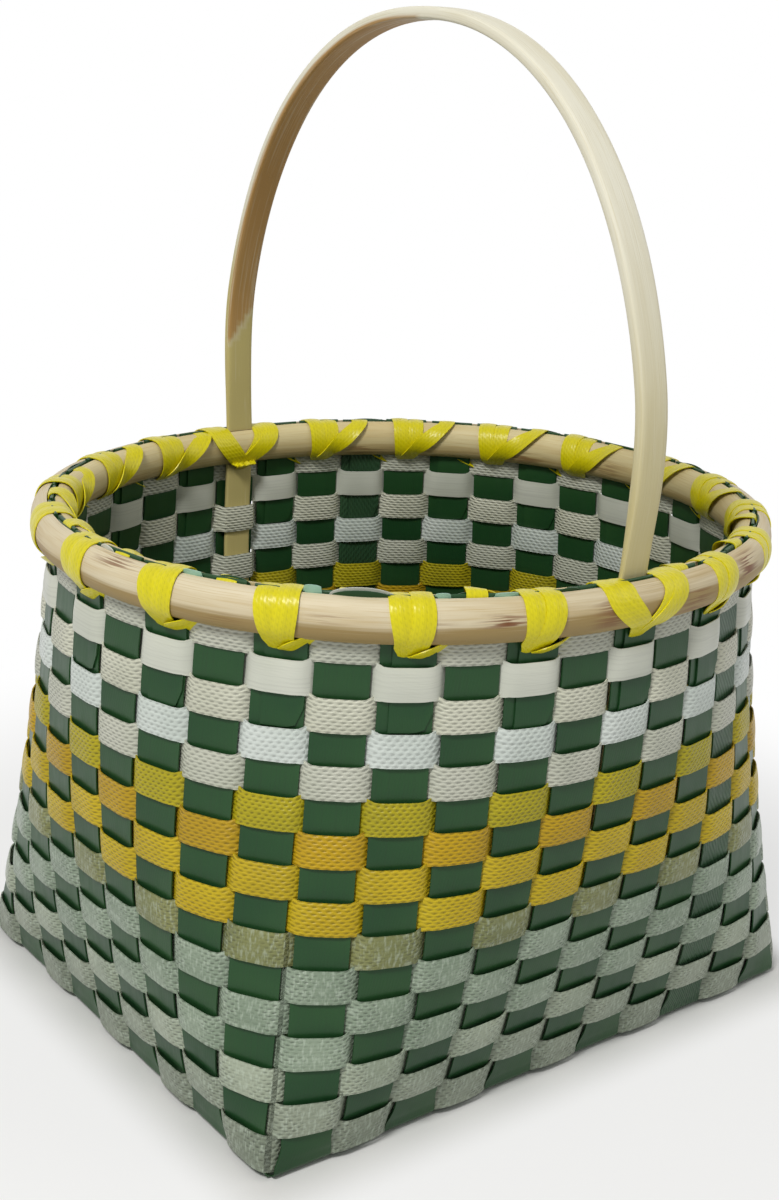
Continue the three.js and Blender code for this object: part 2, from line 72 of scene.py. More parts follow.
# %% Place the camera
PHOTO_WIDTH, PHOTO_HEIGHT = 779, 1200
LOOK_ROUND, LOOK_DOWN, LEAN = (math.radians(a) for a in (-38.582, 17.921, 3.096))
FOCAL_PIXELS, CENTRE_X, CENTRE_Y = 1721.8, 403.63, 595.16
STAND_OFF, AIM_HEIGHT = 0.88911, 0.20519


def add_object(name, data):
    """A new object with this data, linked to the scene."""
    obj = bpy.data.objects.new(name, data)
    scene.collection.objects.link(obj)
    return obj


back = np.array([math.sin(LOOK_ROUND) * math.cos(LOOK_DOWN),
                 -math.cos(LOOK_ROUND) * math.cos(LOOK_DOWN), math.sin(LOOK_DOWN)])
level = np.array([math.cos(LOOK_ROUND), math.sin(LOOK_ROUND), 0.0])
upward = np.cross(back, level)
right = math.cos(LEAN) * level + math.sin(LEAN) * upward
above = math.cos(LEAN) * upward - math.sin(LEAN) * level
eye = back * STAND_OFF + np.array([0, 0, AIM_HEIGHT])

lens = bpy.data.cameras.new("photo_camera")
lens.sensor_width = 36
lens.lens = FOCAL_PIXELS / PHOTO_HEIGHT * lens.sensor_width
lens.shift_x = (PHOTO_WIDTH / 2 - CENTRE_X) / PHOTO_HEIGHT
lens.shift_y = (CENTRE_Y - PHOTO_HEIGHT / 2) / PHOTO_HEIGHT
lens.clip_start, lens.clip_end = 0.05, 30
camera = add_object("photo_camera", lens)
camera.matrix_world = Matrix([*zip(right, above, back, eye), (0, 0, 0, 1)])
scene.camera = camera
print("camera stands at", eye.round(3), "with a lens of", round(lens.lens, 1), "mm")

# %% [markdown]
# ## Small tools for node trees
# Materials and Geometry Nodes are both node trees, and both need many small sums.
# Each sum could be wired by hand. Here a value that flows through a tree is a Wire,
# and plain + - * / on wires add the nodes, so that a pattern later reads like the
# formula behind it.

# %% Helpers for node trees
class Wire:
    """A value that flows through a node tree. Plain + - * / on it add math nodes."""

    def __init__(self, socket):
        self.socket, self.tree = socket, socket.id_data

    __add__ = __radd__ = lambda self, other: calc("ADD", self, other)
    __mul__ = __rmul__ = lambda self, other: calc("MULTIPLY", self, other)
    __sub__ = lambda self, other: calc("SUBTRACT", self, other)
    __rsub__ = lambda self, other: calc("SUBTRACT", other, self)
    __truediv__ = lambda self, other: calc("DIVIDE", self, other)


def add_node(tree, kind, inputs=None, **settings):
    """A node with its settings, and inputs fed by a wire or set to a value."""
    node = tree.nodes.new(kind)
    for key, value in settings.items():
        setattr(node, key, value)
    for key, value in (inputs or {}).items():
        if isinstance(value, Wire):
            tree.links.new(value.socket, node.inputs[key])
        else:
            node.inputs[key].default_value = value
    return node


def wire(tree, kind, inputs=None, output=0, **settings):
    """What flows out of a new node."""
    return Wire(add_node(tree, kind, inputs, **settings).outputs[output])


def calc(operation, *values):
    """One sum, on wires and plain numbers."""
    tree = next(value.tree for value in values if isinstance(value, Wire))
    return wire(tree, "ShaderNodeMath", dict(enumerate(values)), operation=operation)


def smooth_step(value, low, high):
    """Goes softly from 0 at low to 1 at high, and stays there."""
    return wire(value.tree, "ShaderNodeMapRange", {0: value, 1: low, 2: high, 3: 0.0, 4: 1.0},
                interpolation_type="SMOOTHSTEP")


def plain_colour(red, green, blue):
    """A colour as eyes read it, 0 to 255, turned into the light values Blender mixes."""
    parts = (part / 255 for part in (red, green, blue))
    return (*(c / 12.92 if c <= 0.04045 else ((c + 0.055) / 1.055) ** 2.4 for c in parts), 1.0)


print("helpers ready")

# %% [markdown]
# ## Light, floor and background
# The basket stands in plain soft daylight. One lamp to the upper left gives form, a
# weaker one on the right opens the shade, and the world fills the rest. The white
# background isn't made by more light: the world and the far floor show white to the
# camera alone, by Light Path, so that the lamps can stay at a plain level.

# %% Light the studio
scene.view_settings.view_transform = "Standard"
WHITE = (1, 1, 1, 1)


def unit(vectors):
    """The same directions, each of length 1."""
    return vectors / np.linalg.norm(vectors, axis=-1)[..., None]


def soft_lamp(name, place, size, watts, tint):
    """A round soft lamp that looks at the middle of the basket."""
    light = bpy.data.lights.new(name, "AREA")
    light.shape, light.size, light.energy, light.color = "DISK", size, watts, tint
    z = unit(np.array(place) - [0, 0, 0.2])
    x = unit(np.cross([0, 0, 1], z))
    add_object(name, light).matrix_world = Matrix([*zip(x, np.cross(z, x), z, place), (0, 0, 0, 1)])


def seen_directly(tree):
    """1 for rays that should meet the background: camera, glossy and transmission."""
    path = add_node(tree, "ShaderNodeLightPath").outputs
    seen = calc("MAXIMUM", Wire(path["Is Camera Ray"]), Wire(path["Is Glossy Ray"]))
    return calc("MAXIMUM", seen, Wire(path["Is Transmission Ray"]))


def blank_tree(owner):
    """The emptied node tree of a world or a material."""
    owner.use_nodes = True
    owner.node_tree.nodes.clear()
    return owner.node_tree


soft_lamp("window_light", (-1.36, -0.72, 1.9), 0.55, 31, (1.0, 0.985, 0.95))
soft_lamp("open_shade", (1.2, -1.1, 1.2), 1.2, 4, (1.0, 0.99, 0.96))
scene.world = bpy.data.worlds.new("daylight")
tree = blank_tree(scene.world)
fill_light = wire(tree, "ShaderNodeBackground", {"Color": (1.0, 0.99, 0.95, 1), "Strength": 0.3})
backdrop = wire(tree, "ShaderNodeBackground", {"Color": WHITE, "Strength": 1.0})
mix = wire(tree, "ShaderNodeMixShader", {0: seen_directly(tree), 1: fill_light, 2: backdrop})
add_node(tree, "ShaderNodeOutputWorld", {0: mix})
print("two lamps and the world are set")

# %% [markdown]
# The floor is pale paper. It fades to white in two steps: a quick one beside the foot,
# and a slow one far out. Under the foot and within 3.5 cm of it the quick one leaves
# the floor darker, a painted contact shadow over the real one. It is measured from the
# foot's rectangle, so that no bright rim shows through the weave.

# %% Lay the floor
FLOOR_REACH, FLOOR_SIDES = 3.0, 64
FOOT_HALVES, QUICK_FADE, SLOW_FADE = (0.165, 0.136, 0), (0.0, 0.035), (0.24, 0.5)
angles = np.linspace(0, 2 * math.pi, FLOOR_SIDES, endpoint=False)
floor_mesh = bpy.data.meshes.new("floor")
floor_mesh.from_pydata([(FLOOR_REACH * math.cos(a), FLOOR_REACH * math.sin(a), 0) for a in angles],
                       [], [list(range(FLOOR_SIDES))])
floor = add_object("floor", floor_mesh)
pale = bpy.data.materials.new("pale_floor")
tree = blank_tree(pale)
spot = wire(tree, "ShaderNodeTexCoord", output="Object")
away = wire(tree, "ShaderNodeVectorMath", {0: spot}, "Value", operation="LENGTH")
for operation, more in (("ABSOLUTE", {}), ("SUBTRACT", {1: FOOT_HALVES}), ("MAXIMUM", {1: (0, 0, 0)})):
    spot = wire(tree, "ShaderNodeVectorMath", {0: spot, **more}, operation=operation)
beside = wire(tree, "ShaderNodeVectorMath", {0: spot}, "Value", operation="LENGTH")
paper = wire(tree, "ShaderNodeBsdfDiffuse", {"Color": (0.82, 0.82, 0.82, 1)})
glow = wire(tree, "ShaderNodeEmission", {"Color": WHITE, "Strength": 1.0})
# Painted contact shadow: the glow is held back under the foot and within 3.5 cm of it, so the floor is darker
# there.
fade = smooth_step(away, *SLOW_FADE) * 0.36 + smooth_step(beside, *QUICK_FADE) * 0.64
mix = wire(tree, "ShaderNodeMixShader", {0: fade * seen_directly(tree), 1: paper, 2: glow})
add_node(tree, "ShaderNodeOutputMaterial", {0: mix})
floor_mesh.materials.append(pale)
print("floor", FLOOR_REACH * 2, "m across")

# %% [markdown]
# ## The plan of the wall
# The foot is a rectangle of 11 by 9 straps, and the mouth is nearly a circle. Between
# them the plan is a superellipse whose power falls from 25 to about 2, and whose girth
# is always 40 strap pitches. It is solved once at many heights and kept in tables,
# so that any strap can ask where the wall is at a column and a height.

# %% Solve the plan at many heights
MM = 0.001
LONG_COUNT, SHORT_COUNT, COLUMNS, ROWS = 11, 9, 40, 16
STRAP_WIDTH, ROW_PITCH, WEFT_WIDTH = 24.0, 14.9, 14.4
FOOT_PITCH, MOUTH_PITCH = 29.8, 27.1
FOOT_POWER, MOUTH_POWER, POWER_BEND = 25, 2.06, 1.77
WALL_FOOT, LEANING_ROWS = 6.6, 15
WALL_TOP = WALL_FOOT + ROWS * ROW_PITCH
LEVELS = 97


def travelled_along(points):
    """How far each point of a line is from its start, along the line."""
    return np.concatenate([[0], np.cumsum(np.linalg.norm(np.diff(points, axis=0), axis=1))])


def plan_at(share):
    """The plan from the middle of the near side to that of the left side, at a share of
    the wall's height, and how far each of its points is along it."""
    pitch = FOOT_PITCH + (MOUTH_PITCH - FOOT_PITCH) * share
    spread = FOOT_PITCH * (1 - share) + 0.6 * MOUTH_PITCH * share
    power = 1 / (1 / FOOT_POWER + (1 / MOUTH_POWER - 1 / FOOT_POWER) * (1 - (1 - share) ** POWER_BEND))
    angle = np.linspace(0, math.pi / 2, 500)
    sines, cosines = np.sin(angle) ** (2 / power), np.append(np.cos(angle[:-1]), 0) ** (2 / power)
    radius = 10 * pitch / (math.pi / 2)
    for _ in range(12):
        line = np.stack([-(radius + spread / 2) * sines, -(radius - spread / 2) * cosines], -1)
        travelled = travelled_along(line)
        radius *= 10 * pitch / travelled[-1]
    return line, travelled


def columns_at(share):
    """Centre and running direction of all 40 columns at one height."""
    line, travelled = plan_at(share)
    steps = np.mod(5 - np.arange(COLUMNS), COLUMNS)
    quarter = steps // 10
    rest = np.where(quarter % 2 == 0, steps % 10, 10 - steps % 10) / 10 * travelled[-1]
    side = np.stack([np.where(quarter < 2, 1, -1), np.where((quarter == 0) | (quarter == 3), 1, -1)], -1)
    nudge = travelled[-1] * 0.004
    before, centre, after = (
        np.stack([np.interp(at, travelled, line[:, k]) for k in (0, 1)], -1) * side
        for at in (np.clip(rest - nudge, 0, None), rest, np.clip(rest + nudge, None, travelled[-1])))
    return centre, unit((after - before) * np.where(quarter % 2 == 0, -1, 1)[:, None])


CENTRES, RUNS = (np.array(table) for table in zip(*(columns_at(i / (LEVELS - 1)) for i in range(LEVELS))))
print("mouth", np.ptp(CENTRES[-1], axis=0).round(1), "mm, foot", np.ptp(CENTRES[0], axis=0).round(1), "mm")

# %% [markdown]
# A strap stays flat across its own width, as a real one does, so the wall is really
# 40 facets with small gaps. A row that crosses a gap turns softly from one facet to
# the next. The next helpers answer for a facet, and for any place along a row.

# %% Ask where the wall is
def facet(column, height):
    """Centre, running direction and pitch of a column at a height, all as arrays."""
    share = np.clip((height - WALL_FOOT) / (LEANING_ROWS * ROW_PITCH), 0, 1) * (LEVELS - 1)
    low = np.minimum(share.astype(int), LEVELS - 2)
    part = (share - low)[..., None]
    c = np.mod(np.round(column), COLUMNS).astype(int) + np.zeros_like(low)
    centre, run = (table[low, c] * (1 - part) + table[low + 1, c] * part for table in (CENTRES, RUNS))
    return centre, unit(run), FOOT_PITCH + (MOUTH_PITCH - FOOT_PITCH) * share / (LEVELS - 1)


def outward_of(run):
    """The direction a quarter turn to the right of a running direction."""
    return np.stack([run[..., 1], -run[..., 0]], -1)


def around_to(place, centre):
    """How many columns a place is away from a centre, the shorter way round."""
    return np.abs(np.mod(place - centre + COLUMNS / 2, COLUMNS) - COLUMNS / 2)


def wall_at(place, height):
    """A point of the wall and its running direction, at a place counted in columns."""
    place, height = np.broadcast_arrays(np.asarray(place, float), np.asarray(height, float))
    column = np.round(place)
    centre, run, pitch = facet(column, height)
    across = (place - column) * pitch
    side = np.where(across < 0, -1.0, 1.0)[..., None]
    half = STRAP_WIDTH / 2
    next_centre, next_run, _ = facet(column + side[..., 0], height)
    start = centre + run * side * half
    end = next_centre - next_run * side * half
    gap = np.linalg.norm(end - start, axis=-1)[..., None]
    s = np.clip((np.abs(across) - half) / (pitch - STRAP_WIDTH), 0, 1)[..., None]
    m0, m1 = run * side * gap, next_run * side * gap
    bridge = ((2 * s**3 - 3 * s**2 + 1) * start + (s**3 - 2 * s**2 + s) * m0
              + (3 * s**2 - 2 * s**3) * end + (s**3 - s**2) * m1)
    slope = ((6 * s**2 - 6 * s) * start + (3 * s**2 - 4 * s + 1) * m0
             + (6 * s - 6 * s**2) * end + (3 * s**2 - 2 * s) * m1) * side
    on_facet = (np.abs(across) <= half)[..., None]
    return (np.where(on_facet, centre + run * across[..., None], bridge),
            np.where(on_facet, run, unit(slope)))


print("near middle at mid height:", wall_at(5.0, 126.0)[0].round(1))

# %% [markdown]
# ## A strap, from rule to thickness
# Every strap here is the same thing: a long thin band that swings out and in as it
# crosses its neighbours. Modelling each bulge by hand would be endless, so the mesh
# that goes in is only a flat grid on the wall. It carries a few named values for each
# point: which crossing it is at, how far across the strap, and which way is out. The
# node tree below turns that into weave: an even crossing swings out, an odd one in.

# %% A grid that lies along a strap
def fill(values, shape):
    """One value for all points, one for each row of points, or one for each point."""
    values = np.asarray(values, float)
    return np.broadcast_to(values.reshape(values.shape + (1,) * (len(shape) - values.ndim)), shape)


def strap_grid(name, points, closed, marks, width):
    """A band of quads, from points in millimetres and named marks for them. Its UV map,
    strap, is in metres: along the strap and, by the given width, across it."""
    count, across = points.shape[:2]
    start, j = np.arange(count if closed else count - 1), np.arange(across - 1)
    corners = [(start, j), (start + 1, j), (start + 1, j + 1), (start, j + 1)]
    quads = np.stack([(a % count)[:, None] * across + b for a, b in corners], -1)
    mesh = bpy.data.meshes.new(name)
    mesh.from_pydata((points.reshape(-1, 3) * MM).tolist(), [], quads.reshape(-1, 4).tolist())
    middle = points[:, across // 2]
    travelled = travelled_along(np.vstack([middle, middle[:1]]) if closed else middle)
    uv = np.stack([np.stack(np.broadcast_arrays(travelled[a][:, None], width[b]), -1) for a, b in corners], 2)
    mesh.uv_layers.new(name="strap").data.foreach_set("uv", (uv.reshape(-1) * MM).astype(np.float32))
    for key, values in marks.items():
        vector = np.ndim(values) == 3
        flat = fill(values, points.shape if vector else (count, across)).astype(np.float32).reshape(-1)
        mark = mesh.attributes.new(key, "FLOAT_VECTOR" if vector else "FLOAT", "POINT")
        mark.data.foreach_set("vector" if vector else "value", flat)
    return add_object(name, mesh)


# %% A tree that weaves
FLATNESS, RIPPLE_SCALE = 4.5, 55.0


def start_tree(name, *labels):
    """An empty Geometry Nodes tree with named inputs, and a wire from each of them."""
    tree = bpy.data.node_groups.new(name, "GeometryNodeTree")
    for label, kind in (("Geometry", "Geometry"), *labels):
        tree.interface.new_socket(label, in_out="INPUT", socket_type="NodeSocket" + kind)
    tree.interface.new_socket("Geometry", in_out="OUTPUT", socket_type="NodeSocketGeometry")
    sockets = add_node(tree, "NodeGroupInput").outputs
    return tree, {socket.name: Wire(socket) for socket in sockets if socket.name}


def end_tree(tree, geometry, material):
    """Each tree ends the same way: real geometry, then its material."""
    real = wire(tree, "GeometryNodeRealizeInstances", {0: geometry})
    dressed = wire(tree, "GeometryNodeSetMaterial", {"Geometry": real, "Material": material})
    add_node(tree, "NodeGroupOutput", {0: dressed})
    return tree


def named(tree, name, kind="FLOAT"):
    """Reads a mark of the mesh inside Geometry Nodes. It is 0 where there is none."""
    return wire(tree, "GeometryNodeInputNamedAttribute", {"Name": name}, data_type=kind)


tree, given = start_tree("weave", *((label, "Float") for label in ("Swing", "Pillow", "Sag", "Ripple", "Seed")),
                         ("Material", "Material"))
station = named(tree, "station")
nearest = calc("ROUND", station)
bulge = 1.0 - calc("POWER", calc("ABSOLUTE", station - nearest) * 2.0, FLATNESS)
sign = calc("FLOORED_MODULO", nearest, 2.0) * -2.0 + 1.0
swing = given["Swing"] * named(tree, "ease") * bulge
edge = calc("POWER", calc("ABSOLUTE", named(tree, "across")), 2.0)
pillow = given["Pillow"] * (1.0 - edge) * bulge
noise = wire(tree, "ShaderNodeTexNoise", {"Vector": wire(tree, "GeometryNodeInputPosition"), "W": given["Seed"],
                                          "Scale": RIPPLE_SCALE, "Detail": 1.0}, noise_dimensions="4D")
out = sign * (swing + pillow) + (noise - 0.5) * given["Ripple"] + named(tree, "lift")
outward = named(tree, "out", "FLOAT_VECTOR")
shift = wire(tree, "ShaderNodeVectorMath", {0: outward, "Scale": out}, operation="SCALE")
drop = wire(tree, "ShaderNodeCombineXYZ", {"Z": given["Sag"] * bulge * -1.0})
move = wire(tree, "ShaderNodeVectorMath", {0: shift, 1: drop}, operation="ADD")
moved = wire(tree, "GeometryNodeSetPosition", {"Geometry": given["Geometry"], "Offset": move})
WEAVE = end_tree(tree, moved, given["Material"])
print("weave tree has", len(WEAVE.nodes), "nodes")

# %% [markdown]
# A tree works through a modifier. Its inputs are set by their identifiers before it is
# first evaluated, a Solidify modifier after it gives the strap its thickness, and the
# result is then kept as a plain mesh with no modifier left on it.

# %% Grow a piece and keep it as a plain mesh
def grow(obj, node_tree, values, thickness):
    """Runs the tree on the object, thickens it, and keeps the result as its mesh."""
    modifier = obj.modifiers.new("rule", "NODES")
    modifier.node_group = node_tree
    for item in node_tree.interface.items_tree:
        if item.in_out == "INPUT" and item.name in values:
            modifier[item.identifier] = values[item.name]
    shell = obj.modifiers.new("thickness", "SOLIDIFY")
    shell.thickness, shell.offset, shell.use_rim = thickness * MM, 0, True
    bpy.context.view_layer.update()
    mesh = bpy.data.meshes.new_from_object(obj.evaluated_get(bpy.context.evaluated_depsgraph_get()))
    obj.modifiers.clear()
    old, obj.data = obj.data, mesh
    bpy.data.meshes.remove(old)
    mesh.name = obj.name
    return ease_edges(obj, 30)


def ease_edges(obj, crease):
    """Smooth shading, with edges sharper than this many degrees kept crisp."""
    obj.data.shade_smooth()
    obj.data.set_sharp_from_angle(angle=math.radians(crease))
    return obj


def solid_volume(obj):
    """In cubic centimetres. It is positive when the faces point outwards."""
    work = bmesh.new()
    work.from_mesh(obj.data)
    volume = work.calc_volume(signed=True) * 1e6
    work.free()
    return volume


def hand_over(obj, slot, *nodes):
    """The piece rides on the basket's one body and stands for its CAD solids."""
    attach(obj, "root")
    if nodes:
        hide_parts(*nodes)


print("ready to grow straps")

# %% [markdown]
# ## What the straps look like
# The straps are drawn plastic. Some are smooth with faint streaks along them, most of
# the woven ones are embossed with fine slanted lens shapes, and the pale lower ones
# are cloudy, with pale specks painted on as glints, a painted highlight. Image textures
# aren't used: the emboss is a sum of two waves on the strap's own UV map, which feeds
# the bump, and darkens the valleys in the colour as painted shade. Slow noise along
# the strap changes the tone from one crossing to the next.

# %% Helpers for materials
def start_material(name, roughness, gloss=0.5):
    """A new material with its constants set on the shader itself, and how far along and
    across the strap a spot of it is, in millimetres."""
    material = bpy.data.materials.new(name)
    material.use_nodes = True
    tree = material.node_tree
    shader = tree.nodes["Principled BSDF"]
    shader.inputs["Roughness"].default_value = roughness
    shader.inputs["Specular IOR Level"].default_value = gloss
    parts = add_node(tree, "ShaderNodeSeparateXYZ", {0: wire(tree, "ShaderNodeUVMap", uv_map="strap")}).outputs
    return material, tree, (Wire(parts[0]) * 1000.0, Wire(parts[1]) * 1000.0)


def end_material(material, base, roughness, height, depth):
    """Feeds the shader. The height goes from 0 to 1 and is this many millimetres deep."""
    tree = material.node_tree
    bump = wire(tree, "ShaderNodeBump", {"Height": height, "Strength": 1.0, "Distance": depth * MM})
    for key, value in (("Base Color", base), ("Roughness", roughness), ("Normal", bump)):
        tree.links.new(value.socket, tree.nodes["Principled BSDF"].inputs[key])
    return material


def strap_noise(strap, long, wide, detail=2.0, seed=0.0):
    """Noise whose grain is this many millimetres long and wide."""
    tree = strap[0].tree
    spot = wire(tree, "ShaderNodeCombineXYZ", {0: strap[0] / long, 1: strap[1] / wide, 2: seed})
    return wire(tree, "ShaderNodeTexNoise", {"Vector": spot, "Scale": 1.0, "Detail": detail})


def blend(tree, share, first, second, how="MIX"):
    """A share of the second colour over the first."""
    return wire(tree, "ShaderNodeMix", {0: share, 6: first, 7: second}, 2, data_type="RGBA", blend_type=how)


def mark_on(tree, name):
    """Reads a mark of the mesh inside a material."""
    return wire(tree, "ShaderNodeAttribute", output="Fac", attribute_name=name)


def wave(value, period):
    """A cosine wave."""
    return calc("COSINE", value * (2 * math.pi / period))


# %% The embosses
LENSES = {"lens": (1.55, 4.2, 0.9), "diamond": (1.7, 3.2, 1.1), "dash": (1.9, 3.6, 1.2),
          "cloudy": (1.55, 3.8, 1.0)}
# Soot for fine streaks, and the pale colour of the painted glints.
SOOT, GLINT_PAINT = (0.02, 0.02, 0.02, 1), plain_colour(208, 222, 206)


def emboss(strap, kind):
    """Height from 0 to 1 of rows of lenses, each row half a lens on from the next."""
    along = strap[0]
    over = strap[1] + (strap_noise(strap, 11, 6) - 0.5)
    if kind == "faint":
        return wave(along * 0.2 + over, 1.5) * 0.12 + 0.7
    pitch, length, bend = LENSES[kind]
    slant = over / (2 * pitch) - along / length
    return (wave(slant, 1.0) * bend + wave(over, pitch) + (1 + bend)) / (2 + 2 * bend)


def strap_material(name, colour, second, kind, depth, valley, roughness=0.42, cloud_and_glints=0.0, gloss=0.3, seed=0):
    """A pressed strap: tone changes slowly along it, the valleys are darker as painted shade, and cloudy straps
    get painted glints.
    """
    material, tree, strap = start_material(name, roughness, gloss)
    tone = smooth_step(strap_noise(strap, 38, 60, 1.0, seed), 0.35, 0.65)
    base = blend(tree, tone, plain_colour(*colour), plain_colour(*second))
    streak = smooth_step(strap_noise(strap, 60, 0.9, 2.0, seed + 3), 0.45, 0.75)
    base = blend(tree, streak * 0.12, base, SOOT)
    height, pressed = emboss(strap, kind), 1.0
    if cloud_and_glints:
        station = mark_on(tree, "station")
        away = calc("ABSOLUTE", station - calc("ROUND", station))
        patch = smooth_step(away * 1.3 + strap_noise(strap, 16, 9, 1.0, seed + 9), 0.55, 1.0)
        pressed = patch * 0.75 + 0.25
        # Painted highlight: pale specks of noise are mixed in as glints on the cloudy straps.
        glints = smooth_step(strap_noise(strap, 1.3, 4.5, 2.0, seed + 7), 0.45, 0.7)
        base = blend(tree, glints * cloud_and_glints, base, GLINT_PAINT)
    # Painted shade: the emboss's valleys are darkened in the colour, down to the valley share at the deepest.
    shade = 1.0 - (1.0 - smooth_step(height, 0.0, 0.42)) * pressed * (1 - valley)
    grey = wire(tree, "ShaderNodeCombineColor", {0: shade, 1: shade, 2: shade})
    base = blend(tree, 1.0, base, grey, "MULTIPLY")
    worn = strap_noise(strap, 14, 4, 2.0, seed + 5) * 0.24 + (roughness - 0.12)
    return end_material(material, base, worn, height * pressed, depth)


# %% The straps' colours, the two lowest rows with painted shade
# A look: how it is pressed, how deep, how light the valleys stay under the painted shade, how rough, how cloudy
# with painted glints.
white, yellow = ("lens", 0.42, 0.58), ("lens", 0.4, 0.55)
mint, grey = ("cloudy", 0.36, 0.5, 0.3, 0.35), ("cloudy", 0.36, 0.52, 0.32, 0.35)
row_looks = [
    ("grey_emboss", (200, 202, 188), (186, 190, 176), white),
    ("smooth_white", (214, 217, 206), (202, 206, 194), ("faint", 0.07, 0.97, 0.36)),
    ("cream_emboss", (214, 215, 198), (200, 202, 184), white),
    ("blue_white", (218, 226, 222), (204, 214, 208), ("dash", 0.36, 0.72, 0.34)),
    ("grey_emboss", (203, 205, 191), (190, 194, 178), white),
    ("lime_diamond", (186, 172, 26), (170, 160, 30), ("diamond", 0.4, 0.5)),
    ("amber_emboss", (200, 164, 20), (184, 150, 30), yellow),
    ("yellow_emboss", (206, 180, 32), (190, 166, 26), yellow),
    ("yellow_emboss", (204, 180, 30), (194, 166, 24), yellow),
    ("cloudy_olive", (138, 141, 90), (120, 126, 82), ("cloudy", 0.3, 0.6, 0.32, 0.3)),
    *[("cloudy_mint", (150, 166, 146), (133, 150, 130), mint)] * 3,
    # Rows 15 and 16 are dimmed to 0.91 and 0.84 of row 14's greys: painted shade near the floor.
    *[("cloudy_grey", *([int(v * painted_dimming) for v in tone] for tone in ((170, 180, 160), (152, 164, 144))), grey)
      for painted_dimming in (1.0, 0.91, 0.84)]]
ROW_LOOKS = {row: strap_material(f"row_{row}_{name}", first, second, *look, seed=row)
             for row, (name, first, second, look) in enumerate(row_looks, 1)}
GREEN, DIMPLED, YELLOW, MINT_HIGHLIGHT = (strap_material(*look, seed=20 + i) for i, look in enumerate([
    ("smooth_green_strap", (39, 78, 41), (29, 68, 36), "faint", 0.05, 0.97, 0.38),
    ("dimpled_green_strap", (54, 86, 58), (44, 76, 50), "lens", 0.3, 0.7, 0.4),
    ("bright_yellow_strap", (230, 219, 16), (216, 204, 14), "diamond", 0.1, 0.9, 0.34, 0.0, 0.4),
    # A pale mint for loops between the hoops: the colour is a painted highlight, the shine of folded green strap
    # ends.
    ("cloudy_mint_end", (128, 186, 160), (176, 206, 190), "faint", 0.05, 0.95, 0.22, 0.0, 0.5)]))
print(len(ROW_LOOKS), "row looks, green, dimpled, yellow and mint")

# %% [markdown]
# ## The foot straps, which are also the uprights
# On the real basket one strap starts tucked behind a row, folds over the rim, runs
# down a wall, crosses the foot, climbs the opposite wall and folds over again. That
# whole way is one band here too. It is laid in parts, each a short function, and the
# parts are joined end to end before the weave tree swings it out and in.

# %% One end: tucked, folded, and down the wall
ACROSS = np.linspace(-1, 1, 7)
STRAP_THICK, WEFT_THICK = 0.7, 0.6
FOLD, RIM = 0.95, 260.0
CUT_END, CUT_SHAPE = 199.5, np.array([0.0, 0, 0, 0, 0.4, 1.5, 9.0])
TUCKED_WIDTH, TUCKED_SHIFT, TUCKED_BELOW, FREE_ABOVE = 18.6, 2.4, 238, 254
FOOT_LEVEL, BEND, BEND_SPREAD, WALL_SWING = 1.45, 3.4, 5.0, 0.35
rng = np.random.default_rng(11)


def soft(value, low, high):
    """Goes softly from 0 at low to 1 at high, and stays there."""
    s = np.clip((value - low) / (high - low), 0, 1)
    return s * s * (3 - 2 * s)


def raised(flat, height):
    """Points of the plan, lifted to their heights."""
    return np.concatenate([flat, fill(height, flat.shape[:-1])[..., None]], -1)


def lay(points, out, station, ease, lift=0.0):
    """One part of a strap, with what the weave tree has to know about its points."""
    marks = {"station": station, "ease": ease, "lift": np.asarray(lift) * MM}
    return {"points": points, "out": np.broadcast_to(out, points.shape),
            **{key: fill(values, points.shape[:2]) for key, values in marks.items()}}


def wall_part(column, height, width, shift, lift, ease):
    """Rows of points on one facet. Heights may differ across the strap."""
    height = fill(height, (len(height), len(ACROSS)))
    centre, run, _ = facet(column, height)
    across = fill(width, height.shape) / 2 * ACROSS + fill(shift, height.shape)
    row = np.minimum((WALL_TOP - height) / ROW_PITCH + 0.5, ROWS + 0.5)
    points = raised(centre + run * across[..., None], height)
    return lay(points, raised(outward_of(run), 0), row + column, ease, lift)


def one_end(column, ease):
    """From the cut end, up to the rim, over the fold and down to the foot."""
    side = 1.0 if column % 2 else -1.0
    slip = rng.uniform(-0.5, 0.5)
    end = CUT_END + rng.uniform(-1.0, 1.0) + CUT_SHAPE[::int(side)]
    tucked = end + (RIM - end) * np.linspace(0, 1, 24)[:, None]
    free = soft(tucked[:, 3], TUCKED_BELOW, FREE_ABOVE)
    turn = np.linspace(0, math.pi, 7)[1:-1]
    over = RIM + FOLD / 2 * np.sin(turn)
    down = np.arange(RIM, FOOT_LEVEL + BEND, -2.2)
    return [
        wall_part(column, tucked, TUCKED_WIDTH + (STRAP_WIDTH - TUCKED_WIDTH) * free,
                  slip + TUCKED_SHIFT * side * (1 - free), side * FOLD, ease),
        wall_part(column, over, STRAP_WIDTH, slip, side * FOLD / 2 * (1 + np.cos(turn)), ease),
        wall_part(column, down, STRAP_WIDTH + BEND_SPREAD * (1 - soft(down, 5, 16)),
                  slip * soft(down, 20, 200), 0.0, ease)]


# %% Across the foot
def foot_line(column, other):
    """Start, inward direction, length, and the wall's direction of a strap's way across."""
    ends, runs, _ = facet(np.array([column, other]), np.zeros(2))
    inward = ends[1] - ends[0]
    return ends[0], unit(inward), float(np.linalg.norm(inward)), runs[0]


